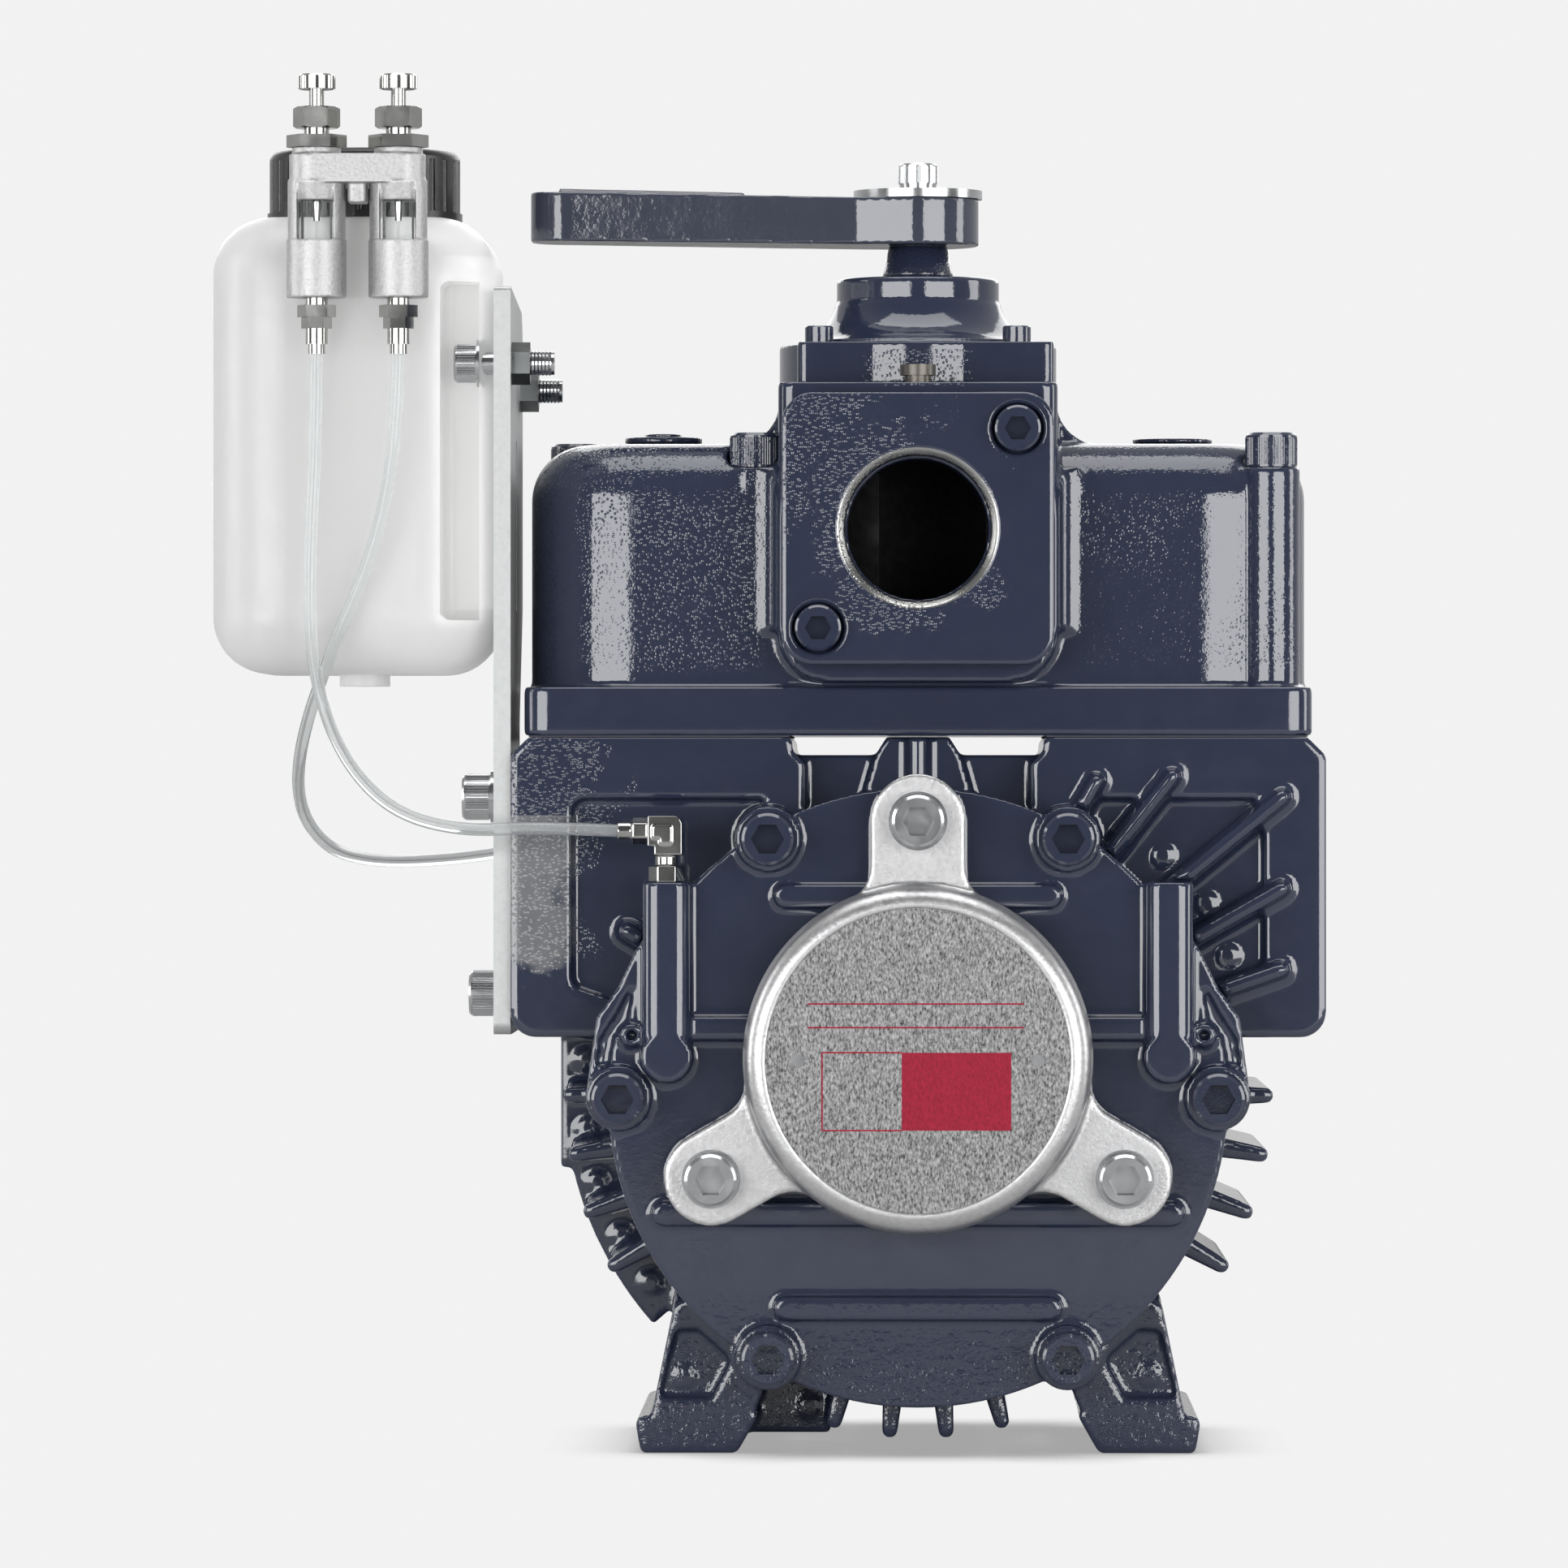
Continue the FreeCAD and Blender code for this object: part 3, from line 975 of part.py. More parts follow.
def manifold():
    """The cast manifold: two chambers under rounded domes and the valve body between them."""
    w, d = FLANGE_HALF_W, BOX_HALF_D
    flange = prism_z(rectangle(-w, w, -d, d), FLANGE_LOW, FLANGE_TOP, FLANGE_CORNER_R)
    dome = prism_z(rectangle(-DOME_HALF_W, DOME_HALF_W, -DOME_HALF_D, DOME_HALF_D),
                   FLANGE_TOP - 2, DOME_TOP, DOME_CORNER_R)
    rim = [e for e in dome.Edges if e.BoundBox.ZMin > DOME_TOP - 0.1]
    dome = dome.makeFillet(DOME_EDGE_R, rim)
    block = prism_y(rectangle(-BODY_HALF, BODY_HALF, BODY_LOW, BODY_TOP), -BODY_FACE_Y, BODY_FACE_Y,
                    [BODY_LOW_R, BODY_LOW_R, 0, 0])
    block = block.common(prism_z(rectangle(-BODY_HALF, BODY_HALF, -BODY_FACE_Y, BODY_FACE_Y),
                                 BODY_LOW, BODY_TOP, BODY_EDGE_R))
    collar = rod_z(0, 0, LID_ROUND_R, FLANGE_TOP - 2, BODY_TOP)
    solids = [flange, dome, block, collar]
    deep = DOME_HALF_D + BLEND_R
    swell = prism_z(rectangle(-DOME_HALF_W, DOME_HALF_W, -deep, deep), BODY_LOW, DOME_TOP)
    swell = swell.makeFillet(DOME_EDGE_R + BLEND_R,
                             [e for e in swell.Edges if e.BoundBox.ZMin > DOME_TOP - 0.1])
    for side in (-1, 1):
        x0, x1 = sorted(((BODY_HALF - 2) * side, (BODY_HALF + SHOULDER_R) * side))
        edge = (BODY_HALF + SHOULDER_R) * side
        high = DOME_TOP + SHOULDER_R
        depth = DOME_HALF_D - DOME_EDGE_R
        curve = box(x0, x1, -depth, depth, DOME_TOP - 12, high)
        solids.append(curve.cut(rod_y(edge, high, SHOULDER_R, -depth - 1, depth + 1)))
        for end in (-1, 1):
            x0, x1 = sorted(((BODY_HALF - 1) * side, (BODY_HALF + BLEND_R) * side))
            y0, y1 = sorted(((DOME_HALF_D - 1) * end, (DOME_HALF_D + BLEND_R) * end))
            blend = box(x0, x1, y0, y1, BODY_LOW + BODY_LOW_R, DOME_TOP).common(swell)
            solids.append(blend.cut(rod_z((BODY_HALF + BLEND_R) * side, deep * end,
                                          BLEND_R, BODY_LOW, DOME_TOP + 1)))
        solids.append(rod_z(PLUG_X * side, 0, PLUG_SEAT_R, DOME_TOP - 4, DOME_TOP + PLUG_SEAT_RISE))
    for x, y in stay_places():
        boss = rod_z(x, y, STAY_BOSS_R, FLANGE_LOW, STAY_SEAT)
        if abs(x) < STAY_X_OUT:
            boss = boss.common(box(-DOME_HALF_W, DOME_HALF_W, -DOME_HALF_D, DOME_HALF_D,
                                   FLANGE_LOW, STAY_SEAT))
        solids.append(boss)
    body = fused(solids)

    tools = [rod_z(0, 0, VALVE_R + RUN_GAP, VALVE_BOTTOM - VALVE_END_GAP, BODY_TOP + 1)]
    tools.append(rod_y(0, PORT_Z, PORT_R - PORT_STEP, -BODY_FACE_Y - 1, BODY_FACE_Y + 1))
    for side in (-1, 1):
        inner = BODY_HALF + 5.5
        x0, x1 = sorted((inner * side, (DOME_HALF_W - DOME_WALL) * side))
        depth = DOME_HALF_D - DOME_WALL
        cavity = prism_z(rectangle(x0, x1, -depth, depth), FLANGE_LOW - 1, DOME_TOP - DOME_WALL,
                         DOME_CORNER_R - DOME_WALL)
        keep = [rod_z(x, y, STAY_BOSS_R, FLANGE_LOW - 1, STAY_SEAT) for x, y in stay_places()
                if x * side > 0]
        tools.append(cut(cavity, keep))
        x0, x1 = sorted((0, (inner + 2) * side))
        tools.append(box(x0, x1, -VALVE_WINDOW_HALF, VALVE_WINDOW_HALF,
                         VALVE_POCKET_LOW + 4, VALVE_POCKET_HIGH - 4))
        tools.append(rod_z(PLUG_X * side, 0, PLUG_BORE_R, DOME_TOP - DOME_WALL - 2, DOME_TOP + 3))
    for x, y in stay_places():
        tools.append(rod_z(x, y, M12[0] + FIT_GAP, FLANGE_LOW - 1, STAY_SEAT + 1))
        tools.append(rod_z(x, y, M12[1] + HEAD_CLEAR, STAY_SEAT, DOME_TOP + 30))
    for end in (-1, 1):
        for x, z in ((PORT_SCREW, PORT_SCREW), (-PORT_SCREW, -PORT_SCREW)):
            y0, y1 = sorted((end * (BODY_FACE_Y + 1), end * (BODY_FACE_Y - PORT_SCREW_DEPTH)))
            tools.append(rod_y(-x * end, PORT_Z + z, M10[0] + FIT_GAP, y0, y1))
    for x in (-1, 1):
        for y in (-1, 1):
            tools.append(rod_z(LID_SCREW * x, LID_SCREW * y, M6[0] + FIT_GAP,
                               BODY_TOP - 12, BODY_TOP + 1))
    tools.append(rod_z(0, -(BODY_FACE_Y + LID_FRONT) / 2, GAUGE_HOLE_R, BODY_TOP - GAUGE_DEPTH,
                       BODY_TOP + 1))
    return cut(body, tools)


def manifold_gasket():
    sheets = []
    for side in (-1, 1):
        x0, x1 = sorted(((BOX_INNER_X + 1) * side, (BOX_HALF_W - BOX_CHAMFER) * side))
        sheet = box(x0, x1, -BOX_HALF_D + 1, BOX_HALF_D - 1, BOX_TOP, FLANGE_LOW)
        x0, x1 = sorted(((BODY_HALF + 7) * side, (DOME_HALF_W - DOME_WALL) * side))
        depth = DOME_HALF_D - DOME_WALL
        window = prism_z(rectangle(x0, x1, -depth, depth), BOX_TOP - 1, FLANGE_LOW + 1,
                         DOME_CORNER_R - DOME_WALL)
        stays = [(x, y) for x, y in stay_places() if x * side > 0]
        window = cut(window, [rod_z(x, y, STAY_BOSS_R, BOX_TOP - 1, FLANGE_LOW + 1) for x, y in stays])
        holes = [rod_z(x, y, M12[0] + FIT_GAP, BOX_TOP - 1, FLANGE_LOW + 1) for x, y in stays]
        sheets.append(cut(sheet, [window] + holes))
    return Part.Compound(sheets)


def port_plate(y0, y1, grow=0.0):
    half = PORT_PLATE_HALF + grow
    plate = prism_y(rectangle(-half, half, PORT_Z - half, PORT_Z + half), y0, y1, PORT_PLATE_CORNER)
    tools = [rod_y(0, PORT_Z, PORT_R, y0 - 1, y1 + 1)]
    for x, z in ((PORT_SCREW, PORT_SCREW), (-PORT_SCREW, -PORT_SCREW)):
        tools.append(rod_y(x, PORT_Z + z, M10[0] + FIT_GAP, y0 - 1, y1 + 1))
    return plate, tools


def front_port_flange():
    """The square port plate with its bevelled bore and two sunk screw seats."""
    plate, tools = port_plate(-PORT_FACE, -BODY_FACE_Y - GASKET_T)
    bevel = revolve([(0, -1), (PORT_R + PORT_CHAMFER + 1, -1), (PORT_R, PORT_CHAMFER), (0, PORT_CHAMFER)],
                    V(0, -PORT_FACE, PORT_Z), V(0, 1, 0))
    seats = [rod_y(x, PORT_Z + x, M10[1] + 1, -PORT_FACE - 1, -PORT_FACE + PORT_SCREW_SINK)
             for x in (PORT_SCREW, -PORT_SCREW)]
    return cut(plate, tools + [bevel] + seats)


def front_port_gasket():
    plate, tools = port_plate(-BODY_FACE_Y - GASKET_T, -BODY_FACE_Y, -1.0)
    return cut(plate, tools)


def port_screws():
    length = PORT_PLATE_T - PORT_SCREW_SINK + THREAD_GRIP
    seat = -PORT_FACE + PORT_SCREW_SINK
    return Part.Compound([socket_screw(M10, length, (x, seat, PORT_Z + x), (0, -1, 0))
                          for x in (PORT_SCREW, -PORT_SCREW)])


def lid_plan(z0, z1):
    front = prism_z(rectangle(-LID_NARROW, LID_WIDE, -LID_FRONT, -6), z0, z1, 3)
    return fused([front, turned_about(front), rod_z(0, 0, LID_ROUND_R, z0, z1)])


def lid_holes():
    return [rod_z(LID_SCREW * x, LID_SCREW * y, M6[0] + FIT_GAP, BODY_TOP - 1, LID_TOP)
            for x in (-1, 1) for y in (-1, 1)]


def valve_cover():
    """The valve lid: a plate, a flared skirt and a round neck that carries the spindle."""
    plate_top = LID_LOW + LID_T
    base = LID_NECK_R + 0.5
    flare = LID_NECK_LOW - plate_top
    points = [V(0, 0, plate_top - 2), V(LID_SKIRT_R, 0, plate_top - 2), V(LID_SKIRT_R, 0, plate_top + 1.5)]
    mid = V(base + (LID_SKIRT_R - base) * 0.34, 0, plate_top + flare * 0.42)
    top = V(base, 0, LID_NECK_LOW)
    profile = [Part.LineSegment(points[0], points[1]).toShape(),
               Part.LineSegment(points[1], points[2]).toShape(),
               Part.Arc(points[2], mid, top).toShape(),
               Part.LineSegment(top, V(0, 0, LID_NECK_LOW)).toShape(),
               Part.LineSegment(V(0, 0, LID_NECK_LOW), points[0]).toShape()]
    skirt = Part.Face(Part.Wire(profile)).revolve(V(0, 0, 0), V(0, 0, 1), 360)
    neck = rod_z(0, 0, LID_NECK_R, LID_NECK_LOW - 1, LID_TOP)
    neck = neck.makeFillet(1.5, [e for e in neck.Edges if len(e.Vertexes) == 1
                                 and e.BoundBox.ZMin > LID_TOP - 0.1])
    body = fused([lid_plan(LID_LOW, plate_top), skirt, neck])
    seats = [rod_z(LID_SCREW * x, LID_SCREW * y, M6[1] + 1, plate_top, LID_TOP)
             for x in (-1, 1) for y in (-1, 1)]
    tools = [rod_z(0, 0, SPINDLE_R + RUN_GAP, LID_LOW - 1, LID_TOP + 1),
             rod_z(0, 0, STEM_SEAL_R, LID_TOP - STEM_SEAL_T, LID_TOP + 1)]
    return cut(body, tools + seats + lid_holes())


def valve_cover_gasket():
    sheet = lid_plan(BODY_TOP, LID_LOW)
    return cut(sheet, [rod_z(0, 0, VALVE_R + RUN_GAP, BODY_TOP - 1, LID_LOW + 1)] + lid_holes())


def valve_rotor():
    """The four-way plug: two flow pockets either side of a slanting web, and its spindle."""
    body = fused([rod_z(0, 0, VALVE_R, VALVE_BOTTOM, BODY_TOP),
                  rod_z(0, 0, SPINDLE_R, BODY_TOP - 1, LEVER_TOP)])
    half = VALVE_WEB / 2
    reach = VALVE_R + 2
    pocket = box(-reach, reach, half, reach, VALVE_POCKET_LOW, VALVE_POCKET_HIGH)
    pocket = pocket.common(rod_z(0, 0, VALVE_R + 1, VALVE_POCKET_LOW, VALVE_POCKET_HIGH))
    ends = [rod_z(x * (VALVE_R + 4), 4, 15, VALVE_POCKET_LOW - 1, VALVE_POCKET_HIGH + 1) for x in (-1, 1)]
    pocket = cut(pocket, ends)
    pocket.rotate(V(0, 0, 0), V(0, 0, 1), 45)
    return cut(body, [pocket, turned_about(pocket)])


def lever():
    """The operating lever, a tapered arm that lifts a little towards its rounded end."""
    reach = LEVER_REACH - LEVER_END_R
    arm = prism_z([(-LEVER_HUB_R, LEVER_HUB_R * 0.86), (0, LEVER_HUB_R), (0, -LEVER_HUB_R),
                   (-LEVER_HUB_R, -LEVER_HUB_R * 0.86), (-reach, -LEVER_END_R),
                   (-LEVER_REACH, -LEVER_END_R), (-LEVER_REACH, LEVER_END_R), (-reach, LEVER_END_R)],
                  LEVER_BOTTOM - 5, LEVER_TOP + 10, [8, 0, 0, 8, 0, LEVER_END_R * 0.8,
                                                     LEVER_END_R * 0.8, 0])
    side = [(LEVER_HUB_R, LEVER_BOTTOM), (LEVER_HUB_R, LEVER_TOP), (-LEVER_HUB_R, LEVER_TOP),
            (-LEVER_REACH, LEVER_TOP + LEVER_LIFT), (-LEVER_REACH, LEVER_BOTTOM + LEVER_LIFT - 0.8),
            (-LEVER_HUB_R, LEVER_BOTTOM)]
    arm = arm.common(prism_y(side, -LEVER_HUB_R - 1, LEVER_HUB_R + 1))
    near, far = LEVER_PAD
    pad_line = prism_y([(-near, LEVER_TOP), (-near, LEVER_TOP + LEVER_PAD_RISE + 0.9),
                        (-far, LEVER_TOP + LEVER_LIFT + LEVER_PAD_RISE), (-far, LEVER_TOP)],
                       -LEVER_PAD_HALF_W, LEVER_PAD_HALF_W)
    hub = rod_z(0, 0, LEVER_HUB_R, LEVER_BOTTOM, LEVER_TOP)
    body = fused([hub, arm, pad_line])
    return body.cut(rod_z(0, 0, SPINDLE_R, LEVER_BOTTOM - 1, LEVER_TOP + 1))


def lever_washer():
    return washer(M8[0] + FIT_GAP, WASHER_R, WASHER_T, (0, 0, LEVER_TOP), (0, 0, 1))


def lever_screw():
    """The screw that clamps the lever to its spindle, over a spring washer."""
    seat = LEVER_TOP + WASHER_T
    spring = washer(M8[0] + FIT_GAP, M8[1], SPRING_WASHER_T, (0, 0, seat), (0, 0, 1))
    screw = socket_screw(LEVER_SCREW, WASHER_T + SPRING_WASHER_T + LEVER_SCREW_GRIP,
                         (0, 0, seat + SPRING_WASHER_T), (0, 0, 1))
    return Part.Compound([screw, spring])


def bracket_plate():
    """The flat bracket that carries the oil bottle on the housing's left side."""
    wide, narrow = (BOX_TOP + z for z in PLATE_NECK)
    outline = [(PLATE_FRONT, PLATE_BOTTOM), (PLATE_FRONT, PLATE_TOP), (PLATE_REAR_HIGH - 8, PLATE_TOP - 5),
               (PLATE_REAR_HIGH, PLATE_TOP - 14), (PLATE_REAR_HIGH, wide), (PLATE_REAR_LOW, narrow),
               (PLATE_REAR_LOW, PLATE_BOTTOM)]
    plate = prism_x(outline, PLATE_X, PLATE_X + PLATE_T, [4, 1.5, 6, 6, 14, 14, 8])
    tools = [rod_x(y, z, M10[0] + FIT_GAP, PLATE_X - 1, PLATE_X + PLATE_T + 1) for y, z in PLATE_SCREWS]
    tools += [rod_x(y, z, M8[0] + FIT_GAP, PLATE_X - 1, PLATE_X + PLATE_T + 1) for y, z in BOTTLE_SCREWS]
    half = PLATE_SLOT_W / 2
    tools.append(prism_x(rectangle(PLATE_SLOT_Y - half, PLATE_SLOT_Y + half, PLATE_SLOT_LOW,
                                   PLATE_SLOT_HIGH), PLATE_X - 1, PLATE_X + PLATE_T + 1, half * 0.98))
    return cut(plate, tools)


def bottle_form(wall):
    """The bottle's outer form, or its inside when a wall is taken off."""
    x0, x1 = BOTTLE_X + wall, PLATE_X - wall
    y0, y1 = BOTTLE_FRONT + wall, BOTTLE_REAR - wall
    z0, z1 = BOTTLE_BOTTOM + wall, BOTTLE_SHOULDER - wall
    form = prism_z(rectangle(x0, x1, y0, y1), z0, z1, BOTTLE_CORNER_R - wall)
    rims = [e for e in form.Edges if e.BoundBox.ZLength < 0.01]
    form = form.makeFillet(BOTTLE_EDGE_R - wall, rims)
    tab = PLATE_X - (BOTTLE_TAB_T if wall == 0 else -1)
    depth = RECESS_D + wall
    inner = PLATE_X - RECESS_W - wall
    notches = []
    for y0, y1 in ((BOTTLE_FRONT - 1, BOTTLE_FRONT + depth), (BOTTLE_REAR - depth, BOTTLE_REAR + 1)):
        notch = box(inner, tab, y0, y1, RECESS_LOW - wall, RECESS_HIGH + wall)
        notches.append(notch.makeFillet(RECESS_R, [e for e in notch.Edges
                                                   if abs(e.CenterOfMass.x - inner) < 0.1]))
    return cut(form, notches)


def oil_bottle():
    """A moulded bottle with a neck, two screw recesses and a drain nub."""
    outer = bottle_form(0.0)
    neck = rod_z(CAP_X, BOTTLE_Y, NECK_R, BOTTLE_SHOULDER - 3, NECK_TOP)
    nub = rod_z(CAP_X, BOTTLE_Y, NUB_R, BOTTLE_BOTTOM - NUB_DROP, BOTTLE_BOTTOM + 1)
    lugs = [box(BOTTLE_X - LUG_T, BOTTLE_X + 4, BOTTLE_Y - LUG_HALF_W, BOTTLE_Y + LUG_HALF_W,
                BOTTLE_SHOULDER - drop - LUG_HALF_H, BOTTLE_SHOULDER - drop + LUG_HALF_H)
            for drop in LUG_DROPS]
    solid = fused([outer, neck, nub] + lugs)
    tools = [bottle_form(BOTTLE_WALL),
             rod_z(CAP_X, BOTTLE_Y, NECK_R - BOTTLE_WALL, BOTTLE_SHOULDER - 8, NECK_TOP + 1)]
    for y, z in BOTTLE_SCREWS:
        tools.append(rod_x(y, z, M8[0] + FIT_GAP, TAB_X - 1, PLATE_X + 1))
    return cut(solid, tools)


def bottle_cap():
    """The fluted screw cap with a lip round its foot, open below for the bottle's neck."""
    low, top = BOTTLE_SHOULDER + BOTTLE_CAP_GAP, BOTTLE_CAP_TOP
    cap = rod_z(CAP_X, BOTTLE_Y, BOTTLE_CAP_R, low, top)
    cap = cap.makeFillet(3, [e for e in cap.Edges if len(e.Vertexes) == 1 and e.BoundBox.ZMin > top - 0.1])
    lip, height = BOTTLE_CAP_LIP
    flutes = []
    for i in range(CAP_FLUTES):
        dx, dz = polar(360.0 / CAP_FLUTES * (i + 0.5), BOTTLE_CAP_R + CAP_FLUTE_OUT, 0)
        flutes.append(rod_z(CAP_X + dx, BOTTLE_Y + dz, CAP_FLUTE_R, low + height, top - 3.5))
    cap = fused([cap.cut(flutes), rod_z(CAP_X, BOTTLE_Y, BOTTLE_CAP_R + lip, low, low + height)])
    return cap.cut(rod_z(CAP_X, BOTTLE_Y, NECK_R + BOTTLE_CAP_GAP, low - 1, top - BOTTLE_CAP_WALL))


def oiler_block():
    """The cast two-barrel oiler with its sight windows, top bridge and feed arm."""
    x_mid = sum(OILER_X) / 2
    y0, y1 = OILER_Y - BRIDGE_HALF_D, OILER_Y + BRIDGE_HALF_D
    edge = BRIDGE_HALF_D
    x0, x1 = OILER_X[0] - edge, OILER_X[1] + edge
    bridge = prism_z(rectangle(x0, x1, y0, y1), BRIDGE_LOW, BRIDGE_TOP, edge * 0.9)
    tongue = prism_z(rectangle(x_mid - TONGUE_HALF_W, x_mid + TONGUE_HALF_W, y0 + 4, y1),
                     BRIDGE_LOW - TONGUE_H, BRIDGE_LOW + 1, 2)
    arm = box(x_mid - ARM_HALF_W, x_mid + ARM_HALF_W, OILER_Y, BOTTLE_Y - BOTTLE_CAP_R + 6,
              BRIDGE_LOW, BRIDGE_TOP)
    arm = arm.cut(rod_z(CAP_X, BOTTLE_Y, BOTTLE_CAP_R, BRIDGE_LOW - 1, BRIDGE_TOP + 1))
    solids = [bridge, tongue, arm]
    for x in OILER_X:
        solids.append(rod_z(x, OILER_Y, OILER_BARREL_R, OILER_FOOT, GLASS_LOW))
        half = OILER_WINDOW_W / 2
        posts = rod_z(x, OILER_Y, OILER_BARREL_R - 0.4, GLASS_LOW - 1, BRIDGE_LOW + 1)
        solids.append(posts.cut(box(x - half, x + half, y0 - 5, y1 + 5, GLASS_LOW - 2, BRIDGE_LOW + 2)))
        lip = Part.makeCone(OILER_BARREL_R - 2.2, OILER_BARREL_R - 0.6, OILER_LIP_H + 0.5,
                            V(x, OILER_Y, GLASS_HIGH), V(0, 0, 1))
        solids.append(lip)
        solids.append(rod_z(x, OILER_Y, OILER_BARREL_R - 2, BRIDGE_TOP - 1, OILER_BOSS_TOP))
    body = fused(solids)
    tools = []
    for x in OILER_X:
        tools.append(rod_z(x, OILER_Y, OILER_GLASS_R,
                           GLASS_LOW - GLASS_LOW_SEAT, GLASS_HIGH + GLASS_HIGH_SEAT))
        tools.append(rod_z(x, OILER_Y, OILER_GLASS_R - GLASS_WALL - 0.6, OILER_FOOT + 5, GLASS_LOW))
        tools.append(rod_z(x, OILER_Y, OUTLET_R, OILER_FOOT - 1, OILER_FOOT + 6))
        tools.append(rod_z(x, OILER_Y, NEEDLE_R + 0.5, GLASS_HIGH, OILER_BOSS_TOP + 1))
        tools.append(rod_z(x, OILER_Y, NOZZLE_R + 2, GLASS_HIGH + 2, GLASS_HIGH + 4))
    return cut(body, tools)


def sight_glasses():
    tubes = []
    low, high = GLASS_LOW - GLASS_LOW_SEAT, GLASS_HIGH + GLASS_HIGH_SEAT
    for x in OILER_X:
        outer = rod_z(x, OILER_Y, OILER_GLASS_R, low, high)
        inner = rod_z(x, OILER_Y, OILER_GLASS_R - GLASS_WALL, low - 1, high + 1)
        tubes.append(outer.cut(inner))
    return Part.Compound(tubes)


def drip_nozzles():
    """The small spouts that the drops fall from, each seen in its sight glass."""
    spouts = []
    for x in OILER_X:
        spout = revolve([(NOZZLE_BORE_R, -9), (NOZZLE_TIP_R, -9), (NOZZLE_R, -4), (NOZZLE_R, 0),
                         (NOZZLE_R + 2, 0), (NOZZLE_R + 2, 2), (NOZZLE_BORE_R, 2)],
                        V(x, OILER_Y, GLASS_HIGH + 2), V(0, 0, 1))
        spouts.append(spout)
    return Part.Compound(spouts)


def gland(x):
    """One needle gland: a hex flange, a neck and a hex nut, bored for the needle."""
    flange = stand(regular(NUT_SIDES, PLATE_HEX, PLATE_HEX_H), (x, OILER_Y, OILER_BOSS_TOP), (0, 0, 1))
    neck = rod_z(x, OILER_Y, NECK_SMALL_R, OILER_BOSS_TOP + PLATE_HEX_H - 0.3, GLAND_LOW + 1)
    nut = stand(regular(NUT_SIDES, GLAND_HEX, GLAND_H), (x, OILER_Y, GLAND_LOW), (0, 0, 1))
    flat, corner = GLAND_HEX * 0.5, GLAND_HEX * 0.6
    nut = nut.common(revolve([(0, 0), (flat, 0), (corner, 1), (corner, GLAND_H - 1), (flat, GLAND_H),
                              (0, GLAND_H)], V(x, OILER_Y, GLAND_LOW), V(0, 0, 1)))
    return cut(fused([flange, neck, nut]),
               [rod_z(x, OILER_Y, NEEDLE_R + RUN_GAP, OILER_BOSS_TOP - 1, GLAND_TOP + 1)])


def needle(x):
    """One adjusting needle with its pointed tip."""
    return revolve([(0, NEEDLE_TIP), (NEEDLE_R, NEEDLE_TIP + NEEDLE_POINT), (NEEDLE_R, KNOB_LOW),
                    (0, KNOB_LOW)], V(x, OILER_Y, 0), V(0, 0, 1))


def knob(x):
    """One knurled knob on the end of its needle."""
    body = rod_z(x, OILER_Y, KNOB_R, KNOB_LOW + 0.6, KNOB_TOP)
    body = body.makeChamfer(0.6, [e for e in body.Edges if len(e.Vertexes) == 1])
    return fused([body, rod_z(x, OILER_Y, NEEDLE_R, KNOB_LOW, KNOB_LOW + 1)])


def feed_fitting(x):
    """One outlet fitting: thread, hex body, nut and sleeve round the tube."""
    thread = rod_z(x, OILER_Y, OUTLET_R, FEED_HEX_LOW, OILER_FOOT + 5)
    hexagon = stand(regular(NUT_SIDES, FEED_HEX, FEED_HEX_H), (x, OILER_Y, FEED_HEX_LOW), (0, 0, 1))
    nut = stand(regular(NUT_SIDES, FEED_NUT, FEED_NUT_H), (x, OILER_Y, FEED_NUT_LOW), (0, 0, 1))
    sleeve = rod_z(x, OILER_Y, FEED_SLEEVE_R, FEED_SLEEVE_LOW, FEED_NUT_LOW + 0.1)
    tip = rod_z(x, OILER_Y, FEED_TIP_R, FEED_LOW, FEED_SLEEVE_LOW + 0.1)
    bore = rod_z(x, OILER_Y, FEED_BORE_R, FEED_LOW - 1, OILER_FOOT + 7)
    return fused([thread, hexagon, nut, sleeve, tip]).cut(bore)


